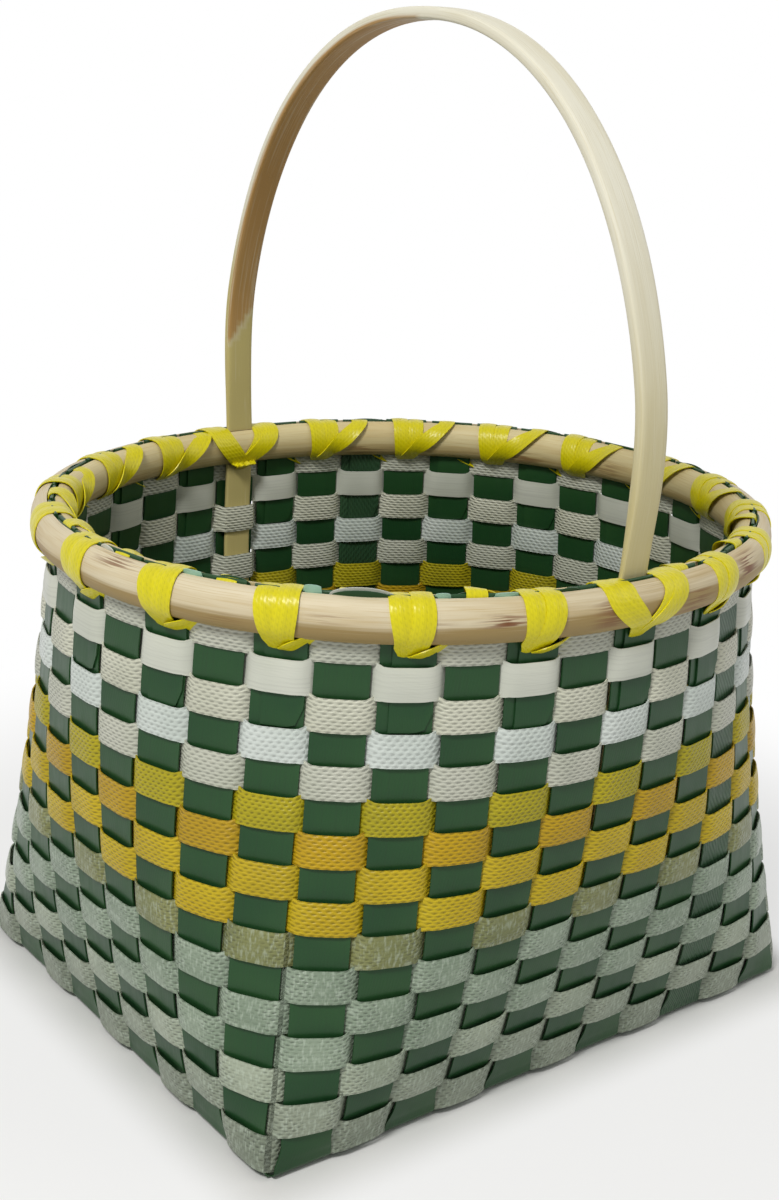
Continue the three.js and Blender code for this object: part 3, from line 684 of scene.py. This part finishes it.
def bend_part(column, other, ease):
    """The quarter turn from wall to foot. It also turns a corner strap straight."""
    start, inward, _, run = foot_line(column, other)
    turn = np.linspace(0, math.pi / 2, 6)
    sine, cosine = np.sin(turn)[:, None, None], np.cos(turn)[:, None, None]
    across = ((STRAP_WIDTH + BEND_SPREAD) / 2 * ACROSS)[:, None]
    sideways = run * (1 - sine) + outward_of(inward) * sine
    flat = start + sideways * across + inward * BEND * (1 - cosine)
    facing = raised(np.broadcast_to(-inward * cosine, flat.shape), -np.sin(turn))
    return lay(raised(flat, FOOT_LEVEL + BEND * (1 - np.sin(turn))), facing, ROWS + 0.5 + column, ease)


def foot_part(column, other, first_station, crossings):
    """Straight across the foot, from one wall to the other."""
    start, inward, span, _ = foot_line(column, other)
    steps = np.linspace(BEND, span - BEND, crossings * 12)[1:-1]
    spread = BEND_SPREAD * (1 - soft(np.minimum(steps, span - steps), 7, 16))
    across = np.outer(STRAP_WIDTH + spread, ACROSS) / 2
    flat = start + outward_of(inward) * across[..., None] + inward * steps[:, None, None]
    crossing = np.clip((steps - span / 2) / FOOT_PITCH + (crossings - 1) / 2, -0.5, crossings - 0.5)
    return lay(raised(flat, FOOT_LEVEL), (0, 0, -1), crossing + first_station, 1.0)


def whole_strap(name, first, last, first_station, crossings, foot_swing):
    """One strap from cut end to cut end."""
    ease = WALL_SWING / foot_swing
    near, far = (one_end(a, ease) + [bend_part(a, b, ease)] for a, b in ((first, last), (last, first)))
    far = [{key: value[::-1, ::-1] for key, value in part.items()} for part in reversed(far)]
    parts = near + [foot_part(first, last, first_station, crossings)] + far
    laid = {key: np.concatenate([part[key] for part in parts]) for key in parts[0]}
    points = laid.pop("points")
    laid["across"] = ACROSS[None, :]
    strap = strap_grid(name, points, False, laid, ACROSS * STRAP_WIDTH / 2)
    return grow(strap, WEAVE, {"Swing": foot_swing * MM, "Ripple": 0.3 * MM, "Seed": float(first),
                               "Material": DIMPLED if 8 in (first, last) else GREEN}, STRAP_THICK)


# %% Lay the twenty straps
total = 0.0
ways = [("long", i + 1, i, 30 - i, i + 1, SHORT_COUNT, 0.45) for i in range(LONG_COUNT)]
ways += [("short", j + 1, 39 - j, 11 + j, j, LONG_COUNT, 1.0) for j in range(SHORT_COUNT)]
for kind, number, *way in ways:
    strap = whole_strap(f"{kind}_strap_{number}", *way)
    hand_over(strap, "green_strap", f"strap_{kind}_{number}")
    total += solid_volume(strap)
print(len(ways), "straps of", round(total, 1), "cubic centimetres, each", len(strap.data.polygons), "faces")

# %% [markdown]
# ## The woven rows
# Each row is a band round the basket at its own height. The same weave tree swings it
# over and under the uprights, now with more swing, some pillow across its height and
# a little sag, as a strap under tension has. Where the handle's legs are tucked in,
# rows 3, 5 and 7 have to bow over them, which the lift value does.

# %% Weave the sixteen rows
STEPS_PER_COLUMN = 18
LEG_COLUMNS, BOWED_ROWS, BOW = (5, 25), (3, 5, 7), 3.9
CORNERS = (10.5, 19.5, 30.5, 39.5)
SWINGS, USUAL_SWING = {1: 1.4, 2: 3.1}, 2.4
ROW_SLOTS = ["white"] * 5 + ["lime"] + ["yellow"] * 3 + ["olive"] + ["mint"] * 3 + ["grey"] * 3


def row_lift(row, place, pitch):
    """Extra distance at the handle's legs: bows over them, or keeps clear of them."""
    near = sum(1 - soft(np.abs(place - column) * pitch, 8.6, 13.2) for column in LEG_COLUMNS)
    return near * (-BOW if row in BOWED_ROWS else 1.1 if row == 1 else 0.0)


place = np.arange(COLUMNS * STEPS_PER_COLUMN) / STEPS_PER_COLUMN - 0.5
turn = place / COLUMNS * 2 * math.pi
at_corner = 1 - soft(np.min([around_to(place, c) for c in CORNERS], axis=0), 0.2, 0.4)
at_gap = soft(2 * np.abs(place - np.round(place)), 0.75, 1.0)
for row in range(1, ROWS + 1):
    wander = sum(rng.uniform(0.06, 0.18) * np.sin(k * turn + rng.uniform(0, 6.3)) for k in (3, 5, 8, 13))
    wider = 0.45 + 1.7 * at_gap * (1 - 0.9 * at_corner * (row > 6))
    across = np.outer(WEFT_WIDTH + wider, ACROSS) / 2
    if row == ROWS:
        across -= 1.1 * (1 - ACROSS)
    middle = WALL_TOP - (row - 0.5) * ROW_PITCH + wander * (0.4 if row in (1, ROWS) else 1.0)
    height = middle[:, None] + across
    point, run = wall_at(place[:, None], height)
    marks = {"station": place + row + 1, "ease": 1.0, "across": ACROSS[None, :],
             "out": raised(outward_of(run), 0), "lift": row_lift(row, place, facet(place, middle)[2]) * MM}
    band = strap_grid(f"woven_row_{row}", raised(point, height), True, marks, ACROSS * WEFT_WIDTH / 2)
    grow(band, WEAVE, {"Swing": SWINGS.get(row, USUAL_SWING) * MM, "Pillow": 0.5 * MM, "Sag": 0.5 * MM,
                       "Ripple": 0.6 * MM, "Seed": row * 1.7, "Material": ROW_LOOKS[row]}, WEFT_THICK)
    hand_over(band, "weft_" + ROW_SLOTS[row - 1], f"weft_row_{row}")
print(ROWS, "rows, the last of", len(band.data.polygons), "faces and", round(solid_volume(band), 2),
      "cubic centimetres")

# %% [markdown]
# ## Wood for the rim and the handle
# The hoops are split wood, half round, pale on top and browner below, with a few
# dark streaks where bark or a knot was. The browner underside is partly the wood's
# own tone and partly painted shade. The handle is planed and paler. Grain is
# noise stretched along the UV map, in three sizes: broad tone, fine lines, and the
# rare dark streaks that a maker doesn't plane away.

# %% The wood
def wood_material(name, *tones, brown_share, streaky, roughness, seed):
    """Wood along the strap. The mark brown adds an older, browner tone, on the hoops' undersides partly painted
    shade, and the mark stain adds dark streaks.
    """
    material, tree, strap = start_material(name, roughness)
    pale_tone, brown_tone, aged_and_shade_tone, streak_tone = (plain_colour(*tone) for tone in tones)
    broad = smooth_step(strap_noise(strap, 70, 9, 2.0, seed), 0.38, 0.72)
    base = blend(tree, broad * brown_share, pale_tone, brown_tone)
    fine = strap_noise(strap, 34, 0.55, 3.0, seed + 2)
    base = blend(tree, smooth_step(fine, 0.48, 0.74) * 0.7, base, brown_tone)
    # The brown mark: on the hoops it is partly the wood's own tone and partly painted shade on the underside; on
    # the handle it is the brown skin.
    aged_and_shade = mark_on(tree, "brown")
    patchy = strap_noise(strap, 60, 1.4, 3.0, seed + 6) * 2.0 - 1.0
    base = blend(tree, smooth_step(aged_and_shade + patchy * aged_and_shade, 0.0, 1.0), base, aged_and_shade_tone)
    stain = mark_on(tree, "stain")
    lines = strap_noise(strap, 30, 1.3, 2.0, seed + 4) + (stain * 0.1 - 0.1)
    base = blend(tree, stain * smooth_step(lines, *streaky), base, streak_tone)
    return end_material(material, base, fine * 0.2 + (roughness - 0.1), fine, 0.12)


RIM_WOOD = wood_material("split_rim_wood", (224, 212, 182), (200, 176, 126), (160, 136, 84), (118, 70, 32),
                         brown_share=0.6, streaky=(0.41, 0.48), roughness=0.55, seed=31)
INNER_WOOD = wood_material("inner_rim_wood", (222, 208, 160), (206, 182, 126), (176, 148, 90), (128, 84, 40),
                           brown_share=0.6, streaky=(0.41, 0.5), roughness=0.55, seed=33)
HANDLE_WOOD = wood_material("planed_handle_wood", (236, 233, 216), (216, 208, 178), (178, 138, 80),
                            (198, 184, 120), brown_share=0.4, streaky=(0.0, 0.4), roughness=0.6, seed=37)
print("three woods")

# %% [markdown]
# ## The two hoops
# A hoop is a half-round profile carried round the mouth, flat face to the wall. The
# ring follows the same facets as the straps, rounded off, with a slow change of
# thickness, because split wood is never even. The inner one is notched where the
# handle's legs pass behind it. The stain mark darkens places seen on the real one.

# %% Bend the hoops
HOOP_FOOT, HOOP_HEIGHT, HOOP_THICK, HOOP_SEAT = WALL_TOP - 5.2, 20.0, 8.0, 2.0
HOOP_MIDDLE, HOOP_TOP = HOOP_FOOT + HOOP_HEIGHT / 2, HOOP_FOOT + HOOP_HEIGHT
HOOP_FULLNESS, HOOP_ROUNDNESS, HOOP_BACK = 0.97, 0.85, 9.3
SEAM, NOTCH_HALF, NOTCH_DEPTH = 15.0, 0.308, 5.6
STAIN_EDGE = 1.2


def mouth_ring(place):
    """Centre and running direction of the rim at a place, smoothed between facets."""
    steps = np.linspace(-0.5, 0.5, 9)
    point, ahead = (sum(wall_at(place + s + d, WALL_TOP)[0] for s in steps) / len(steps) for d in (0, 0.05))
    return point, unit(ahead - point)


def half_round(low, high, count, lift=0.0):
    """Thickness and height of the hoops' profile between two angles, so much above it."""
    angle = np.radians(np.linspace(low, high, count))
    return ((HOOP_THICK * HOOP_FULLNESS + lift) * np.cos(angle) ** HOOP_ROUNDNESS,
            (HOOP_HEIGHT / 2 + lift) * np.sin(angle))


def near_to(place, centre, reach):
    """A soft spot round the ring, 1 at its centre."""
    return 1 - soft(around_to(place, centre), 0, reach)


def close_skin(obj, material, crease):
    """Merges points that lie on each other, caps open ends and turns faces outwards."""
    work = bmesh.new()
    work.from_mesh(obj.data)
    bmesh.ops.remove_doubles(work, verts=work.verts, dist=1e-6)
    bmesh.ops.holes_fill(work, edges=[edge for edge in work.edges if edge.is_boundary], sides=0)
    bmesh.ops.recalc_face_normals(work, faces=work.faces)
    work.to_mesh(obj.data)
    work.free()
    obj.data.materials.append(material)
    return ease_edges(obj, crease)


def hoop(name, sign, stains, material):
    """A half-round ring, outside the wall for sign 1 and inside it for sign -1. A stain
    has a place, a reach in columns, its lowest and highest edge, and an amount."""
    place = SEAM + np.arange(0, COLUMNS, 0.1)
    if sign < 0:
        edges = [(c - SEAM) % COLUMNS + SEAM + d for c in LEG_COLUMNS for d in (-0.312, -0.302, 0.302, 0.312)]
        place = np.sort(np.concatenate([place, edges]))
    point, run = mouth_ring(place)
    out = outward_of(run)
    point = point + out * np.einsum("ij,ij->i", wall_at(place, WALL_TOP)[0] - point, out).mean()
    bulge, height = half_round(-90, 90, 17)
    turn = place / COLUMNS * 2 * math.pi
    uneven = 1 + sum(0.018 * np.sin(k * turn + 1.7 * k * sign) for k in (3, 7, 11, 19))
    at_leg = np.min([around_to(place, c) for c in LEG_COLUMNS], axis=0) < NOTCH_HALF
    notch = np.where(at_leg & (sign < 0), NOTCH_DEPTH, 0.0)[:, None]
    depth = np.maximum(HOOP_SEAT + np.outer(uneven, bulge), notch)
    depth = np.concatenate([depth, np.repeat(np.maximum(HOOP_SEAT, notch), 3, 1), depth[:, :1]], 1)
    height = np.concatenate([height, [HOOP_BACK, 0, -HOOP_BACK, -HOOP_HEIGHT / 2]])
    points = raised(point[:, None] + out[:, None] * depth[..., None] * sign, HOOP_MIDDLE + height[None, :])
    around = travelled_along(np.stack([depth[5], height], -1)) - 11
    stain = np.zeros(depth.shape)
    for centre, reach, low, high, amount in stains:
        lower, upper = (soft(height, edge - STAIN_EDGE, edge + STAIN_EDGE) for edge in (low, high))
        stain = np.maximum(stain, np.outer(near_to(place, centre, reach), lower * (1 - upper)) * amount)
    # Browner towards the underside, reaching higher on the near middle of the outer hoop: partly the wood's own
    # tone and partly painted shade.
    browner = near_to(place, 5.5, 5.0)[:, None] * (sign > 0)
    under = 1 - soft(height - 3.5 * browner, -4.5, 0.5)
    brown = 0.08 + 0.3 * browner + (1.1 if sign > 0 else 0.4) * under
    marks = {"stain": stain[:, ::sign], "brown": brown[:, ::sign]}
    return close_skin(strap_grid(name, points[:, ::sign], True, marks, around[::sign]), material, 40)


outer_stains = [
    (2.4, 0.6, -1, 4, 1.0), (-0.2, 0.5, 0, 4, 0.45), (1.2, 0.6, -1, 2, 0.5), (4.2, 0.5, -6, 6, 0.7),
    (6.1, 0.7, -8, 3, 0.55), (7.8, 0.6, -2, 9, 1.0), (-3.9, 0.7, 6, 10, 0.8), (-1.9, 0.6, -6, -2, 0.35),
    (-6.2, 0.8, -9, 0, 0.4), (12.2, 1.5, -3, 4, 0.6), (18.0, 1.0, -8, 0, 0.5), (24.0, 1.2, 0, 6, 0.6)]
inner_stains = [
    (22.0, 0.9, -9, -3, 0.7), (18.2, 0.8, -9, -2, 0.7), (27.8, 0.9, -9, -4, 0.5), (16.2, 0.9, -8, 2, 0.5)]
for side, sign, stains, wood in (("outer", 1, outer_stains, RIM_WOOD), ("inner", -1, inner_stains, INNER_WOOD)):
    ring = hoop(f"{side}_hoop_wood", sign, stains, wood)
    hand_over(ring, "rim_wood", f"{side}_hoop")
    print(side, "hoop:", round(solid_volume(ring), 1), "cubic centimetres")

# %% [markdown]
# ## The handle
# The handle is one stave. Its thin legs run down inside the wall, behind the inner
# hoop, and its top is bent in a high arch, a superellipse that is a little squarer
# than a circle. A rounded rectangle is lofted along that line, thin at the legs and
# thicker above the rim, with its edges eased as by a knife.

# %% The line of the stave
HANDLE_WIDTH, LEG_THICK, HANDLE_THICK = 16.0, 3.2, 6.0
HANDLE_REACH, HANDLE_RISE, HANDLE_POWER = 166.5, 216.0, 2.16
SPRING, BEND_HEIGHT, SWELL_HEIGHT = HOOP_TOP + 14.5, 84, 45
LEG_FOOT, LEG_OFFSET = WALL_TOP - 8 * ROW_PITCH, -3.6


def half_handle():
    """The middle line from the tip of a leg to the crown: reach, height and swell."""
    low = np.arange(LEG_FOOT, HOOP_TOP, 4.0)
    wall = -facet(5, low)[0][:, 1] + LEG_OFFSET
    mouth = wall[-1]
    mid = np.linspace(HOOP_TOP, HOOP_TOP + BEND_HEIGHT, 26)
    arch = np.clip((mid - SPRING) / HANDLE_RISE, 0, 1)
    arch = HANDLE_REACH * (1 - arch**HANDLE_POWER) ** (1 / HANDLE_POWER)
    bend = mouth + (arch - mouth) * (mid - HOOP_TOP) / BEND_HEIGHT
    start = math.asin(((mid[-1] - SPRING) / HANDLE_RISE) ** (HANDLE_POWER / 2))
    turn = np.linspace(start, math.pi / 2, 48)[1:]
    reach = HANDLE_REACH * np.maximum(np.cos(turn), 0) ** (2 / HANDLE_POWER)
    rise = SPRING + HANDLE_RISE * np.sin(turn) ** (2 / HANDLE_POWER)
    heights = np.concatenate([low, mid, rise])
    return np.concatenate([wall, bend, reach]), heights, soft(heights, HOOP_TOP, HOOP_TOP + SWELL_HEIGHT)


reach, rise, swell = half_handle()
line_y = np.concatenate([-reach, reach[:-1][::-1]])
line_z, swell = (np.concatenate([half, half[:-1][::-1]]) for half in (rise, swell))
line = np.stack([line_y, line_z], -1)
print("handle line", round(float(travelled_along(line)[-1])), "mm long")

# %% [markdown]
# On the real stave the far half of the arch keeps a brown skin on its underside, with
# a slanting border above the leg, and the legs have an olive tinge. Both are marks for
# the wood material, brown and stain.

# %% Loft the handle
SKIN_BORDER, SKIN_SLANT = (316, 323), 1.3
FAR_OLIVE_ENDS, NEAR_OLIVE_ENDS = (335, 390), (270, 420)


def squared(value):
    """Turns a circle's sine or cosine into that of a rectangle with round corners."""
    return np.sign(value) * np.abs(value) ** 0.4


turn = np.linspace(0, 2 * math.pi, 33)
outline_x, outline_n = squared(np.cos(turn)) * HANDLE_WIDTH / 2, squared(np.sin(turn))
worn = 1 + sum(a * np.sin(np.linspace(0, b, len(line))) for a, b in ((0.02, 23), (0.012, 61)))
x = np.outer(worn, outline_x)
n = np.outer((LEG_THICK + (HANDLE_THICK - LEG_THICK) * swell) / 2, outline_n)
normal = -outward_of(unit(np.gradient(line, axis=0)))
points = np.concatenate([x[..., None], line[:, None] + normal[:, None] * n[..., None]], -1)
girth = travelled_along(np.stack([outline_x, outline_n * HANDLE_THICK / 2], -1))
border = soft(line_z[:, None] - SKIN_SLANT * x, *SKIN_BORDER) * (line_y > 0)[:, None]
brown = 0.95 * border * soft(line_y, -60, 60)[:, None] * (outline_n < -0.2)
far_olive, near_olive = (1 - soft(line_z, *ends) for ends in (FAR_OLIVE_ENDS, NEAR_OLIVE_ENDS))
olive = np.where(line_y > 0, far_olive, 0.8 * near_olive)
marks = {"stain": olive[:, None] * (1 - brown), "brown": brown}
handle = close_skin(strap_grid("bent_handle", points, False, marks, girth), HANDLE_WOOD, 50)
hand_over(handle, "handle_wood", "handle")
print("handle", round(solid_volume(handle), 1), "cubic centimetres")

# %% [markdown]
# ## The lashing
# A yellow strap is passed through a hole under the rim at every second column, and
# wound round both hoops: twice over the whole rim, side by side, and once round the
# inner hoop alone, slanting down between the hoops, from where a short tail comes out
# under the outer one. It could be swept as one long strap, but its turns are alike. So
# a station is modelled as these four ribbons, in three variants, and a Geometry Nodes
# tree sets them round the mouth. The two at the handle straddle its leg, so they are
# modelled by themselves. A place of a ribbon is given in millimetres along the rim, out
# from it, and up.

# %% A ribbon round the hoops
LASH_WIDTH, LASH_THICK, LASH_FROM, LASH_TO = 9.4, 0.5, -66, 84
OUTER_HOLE, INNER_HOLE, BETWEEN = (1.0, -16.0), (-1.2, -12.6), 1.35
RIM_RADIUS = 168.0


def smooth_line(points, count, rounds=3):
    """Evenly spaced points on a line, with its corners eased."""
    points = np.asarray(points, float)
    travelled = travelled_along(points)
    at = np.linspace(0, travelled[-1], count)
    line = np.stack([np.interp(at, travelled, points[:, i]) for i in range(3)], -1)
    for _ in range(rounds):
        line[1:-1] = line[1:-1] * 0.5 + (line[:-2] + line[2:]) * 0.25
    return line


def ribbon(line, heart, pinch, curl=0.35):
    """A band of points about a line, facing away from the heart (depth, height)."""
    tangent = unit(np.gradient(line, axis=0))
    away = (line - [0, *heart]) / [np.inf, 80, 100]
    side = unit(np.cross(tangent, away))
    face = np.cross(side, tangent)
    half_width = (LASH_WIDTH / 2 * pinch)[:, None, None]
    return (line[:, None] + side[:, None] * half_width * ACROSS[:, None]
            + face[:, None] * (curl * (1 - ACROSS**2))[:, None])


def wound_band(hole, top, out_again, lift, seed):
    """A ribbon round both hoops, at these places along the rim: hole, top, hole."""
    depth, height = half_round(LASH_FROM, LASH_TO, 22, lift)
    outside = np.stack([HOOP_SEAT + depth, height], -1)
    way = np.vstack([[OUTER_HOLE], outside, outside[::-1] * [-1, 1], [INNER_HOLE]])
    s = np.linspace(0, 1, len(way))
    up, down = soft(s, 0.0, 0.36), soft(s, 0.62, 1.0)
    along = np.where(s < 0.5, hole + (top - hole) * up, top + (out_again - top) * down)
    along += np.random.default_rng(seed).uniform(-0.5, 0.5) * np.sin(s * 9)
    line = smooth_line(np.column_stack([along, way]), 46)
    s = np.linspace(0, 1, len(line))
    return ribbon(line, (0, 0), 0.55 + 0.45 * soft(s, 0.0, 0.1) * (1 - soft(s, 0.9, 1.0)))


def inner_band(start, top):
    """A ribbon that leaves the hole, climbs the inner hoop and goes down between the hoops."""
    depth, height = half_round(LASH_FROM, LASH_TO, 18, 1.1)
    inside = np.stack([-HOOP_SEAT - depth, height], -1)
    way = np.vstack([[(-1.4, -12.6)], inside, [(0.5, 10.9), (1.3, 9.0), (BETWEEN, 0.0), (BETWEEN, -7.5)]])
    along = start + (top - start) * soft(np.linspace(0, 1, len(way)), 0.05, 0.8)
    line = smooth_line(np.column_stack([along, way]), 50, 2)
    return ribbon(line, (-5.2, 0), 0.5 + 0.5 * soft(np.linspace(0, 1, len(line)), 0.0, 0.12), 0.2)


def tail_band(reach):
    """A ribbon from between the hoops, out under the outer one and into the hole."""
    way = [(reach + 1, BETWEEN, 0), (reach, BETWEEN, -7.5), (reach - 6.5, 2.3, -11.2), (reach - 11, 3.4, -13.2),
           (3.8, 3.2, -15.4), (0.4, 0.9, -16.4)]
    line = smooth_line(way, 26, 2)
    return ribbon(line, (-5.2, 0), 1 - 0.5 * soft(np.linspace(0, 1, len(line)), 0.8, 1.0), 0.2)


def bend_to_rim(points):
    """Bends a straight station to the curve of the rim. Out is then minus Y."""
    along, depth, height = np.moveaxis(points, -1, 0)
    angle = along / RIM_RADIUS
    return np.stack([(RIM_RADIUS + depth) * np.sin(angle),
                     RIM_RADIUS - (RIM_RADIUS + depth) * np.cos(angle), height], -1)


# %% Three variants of a station
def join_bands(name, bands):
    """All ribbons of a station as one object, still without thickness."""
    work = bmesh.new()
    for i, band in enumerate(bands):
        piece = strap_grid(f"{name}_{i}", bend_to_rim(band), False, {}, ACROSS * LASH_WIDTH / 2)
        work.from_mesh(piece.data)
        bpy.data.meshes.remove(piece.data)
    mesh = bpy.data.meshes.new(name)
    work.to_mesh(mesh)
    work.free()
    return bpy.data.objects.new(name, mesh)


variants = bpy.data.collections.new("station_variants")
scene.collection.children.link(variants)
for i, (first_top, second_top) in enumerate([(-4.8, 4.5), (-5.1, 4.1), (-4.3, 4.9)]):
    bands = [wound_band(-2.4, first_top, -2.6, 0.5, 40 + i), wound_band(2.0, second_top, 2.4, 0.95, 50 + i),
             inner_band(-0.5, -24.5 - 1.5 * i), tail_band(18.5 + 1.5 * i)]
    variants.objects.link(join_bands(f"station_{i}", bands))

# %% Set the stations round the mouth
TILT, STATION_SEED = 0.1, 5
tree, given = start_tree("lashing", ("Variants", "Collection"), ("Material", "Material"))
pick = wire(tree, "GeometryNodeCollectionInfo", {"Collection": given["Variants"], "Separate Children": True,
                                                 "Reset Children": True})
chosen = wire(tree, "FunctionNodeRandomValue", {4: 0, 5: len(variants.objects) - 1, "Seed": STATION_SEED}, 2,
              data_type="INT")
leaning = wire(tree, "FunctionNodeRandomValue", {"Seed": STATION_SEED}, 1, data_type="FLOAT")
angles = wire(tree, "ShaderNodeCombineXYZ", {"Y": (leaning - 0.5) * TILT, "Z": named(tree, "turn")})
placed = wire(tree, "GeometryNodeInstanceOnPoints", {
    "Points": given["Geometry"], "Instance": pick, "Pick Instance": True, "Instance Index": chosen,
    "Rotation": wire(tree, "FunctionNodeEulerToRotation", {0: angles})})
LASHING = end_tree(tree, placed, given["Material"])

odd = np.array([c for c in range(COLUMNS) if c % 2 and c not in LEG_COLUMNS], float)
point, run = mouth_ring(odd)
stations = bpy.data.meshes.new("rim_lashing_strap")
stations.from_pydata((raised(point, HOOP_MIDDLE) * MM).tolist(), [], [])
turns = np.arctan2(run[:, 1], run[:, 0]).astype(np.float32)
stations.attributes.new("turn", "FLOAT", "POINT").data.foreach_set("value", turns)
lashing = add_object("rim_lashing_strap", stations)
grow(lashing, LASHING, {"Variants": variants, "Material": YELLOW}, LASH_THICK)
hand_over(lashing, "lashing_strap", "rim_lashing")
print("lashing:", len(odd), "stations,", len(lashing.data.polygons), "faces")

# %% Bind the handle's legs
for i, column in enumerate(LEG_COLUMNS):
    bands = [wound_band(*places, 70 + 4 * k + i) for k, places in enumerate(
        [(-1.5, -12.8, -1.0, 0.5), (1.5, 12.8, 1.0, 0.9), (-0.5, -19.5, 0.0, 0.8), (2.5, 18.5, 0.5, 1.2)])]
    for band in bands:
        behind_leg = (band[..., 2] < -9) & (band[..., 1] < 0)
        band[behind_leg, 1] -= 4.6
    knot = join_bands(f"handle_lashing_{i + 1}", bands)
    scene.collection.objects.link(knot)
    point, run = mouth_ring(np.array([float(column)]))
    knot.data.transform(Matrix.Translation(raised(point, HOOP_MIDDLE)[0] * MM)
                        @ Matrix.Rotation(math.atan2(run[0, 1], run[0, 0]), 4, "Z"))
    grow(knot, WEAVE, {"Material": YELLOW}, LASH_THICK)
    hand_over(knot, "lashing_strap")
for station in list(variants.objects):
    bpy.data.objects.remove(station)
bpy.data.collections.remove(variants)
print("two crossed stations at the handle's legs")

# %% [markdown]
# ## What shows between the hoops
# Between the two hoops the real rim isn't empty. Folded strap ends stand on edge
# there, and a few pale loops rise a little over the wood: two of white strap, and four
# whose pale mint colour is a painted highlight, the shine of folded green strap ends.
# Each one is a short band on edge along the rim, with an arched top. The pale ones and
# the last five green ones are where the real basket shows them, and the others are
# spread round the rim.

# %% Stand the loops between the hoops
LOOP_THICK, LOOP_FOOT, LOOP_SHOULDER = 0.5, HOOP_TOP - 7.0, 2.5


def loop(name, start, end, rise, lean, look):
    """A strip on edge from one place of the rim to another, its top edge arched."""
    t = np.linspace(0, 1, max(12, int((end - start) * 24)))
    point, run = mouth_ring(start + (end - start) * t)
    arch = np.sin(math.pi * t)
    top = HOOP_TOP - LOOP_SHOULDER + (rise + LOOP_SHOULDER) * arch ** (0.12 if look == MINT_HIGHLIGHT else 0.35)
    share = (ACROSS + 1) / 2
    over = np.outer(lean * (0.5 + 0.5 * arch), 0.7 + 0.6 * share**2)
    flat = point[:, None] + outward_of(run)[:, None] * over[..., None]
    strip = strap_grid(name, raised(flat, LOOP_FOOT + np.outer(top - LOOP_FOOT, share)), False, {}, ACROSS * 5)
    grow(strip, WEAVE, {"Material": look}, LOOP_THICK)
    hand_over(strip, "green_strap" if look == GREEN else "weft_mint")


# Four pale loops are mint, a painted highlight for the shine of folded green strap ends; two are white strap.
pale_loops = [(-0.68, -0.36, 3.6, 2.0, MINT_HIGHLIGHT), (-0.3, 0.78, 3.5, 0.8, ROW_LOOKS[2]), (-2.7, -2.3, 2.4, 2.0, MINT_HIGHLIGHT),
              (1.32, 1.6, 2.2, 1.6, MINT_HIGHLIGHT), (2.25, 2.7, 1.8, 1.8, MINT_HIGHLIGHT), (-4.6, -4.2, 2.0, 1.8, ROW_LOOKS[2])]
green_loops = [(c + 0.4 + 0.1 * math.sin(5 * c), c + 1.5, 0.9 + 0.5 * math.sin(3 * c), 1.6 * (-1) ** (c // 2),
                GREEN) for c in range(7, 36, 2) if c != LEG_COLUMNS[1]]
green_loops += [(-0.26, 0.74, 2.8, 2.6, GREEN), (1.6, 2.2, 1.4, -1.4, GREEN), (3.3, 3.8, 1.6, 1.6, GREEN),
                (-5.2, -4.7, 1.6, 1.6, GREEN), (-2.2, -1.5, 1.8, -1.2, GREEN)]
for tint, loops in (("pale", pale_loops), ("green", green_loops)):
    for i, sizes in enumerate(loops):
        loop(f"{tint}_loop_{i + 1}", *sizes)
print(len(pale_loops) + len(green_loops), "loops between the hoops")
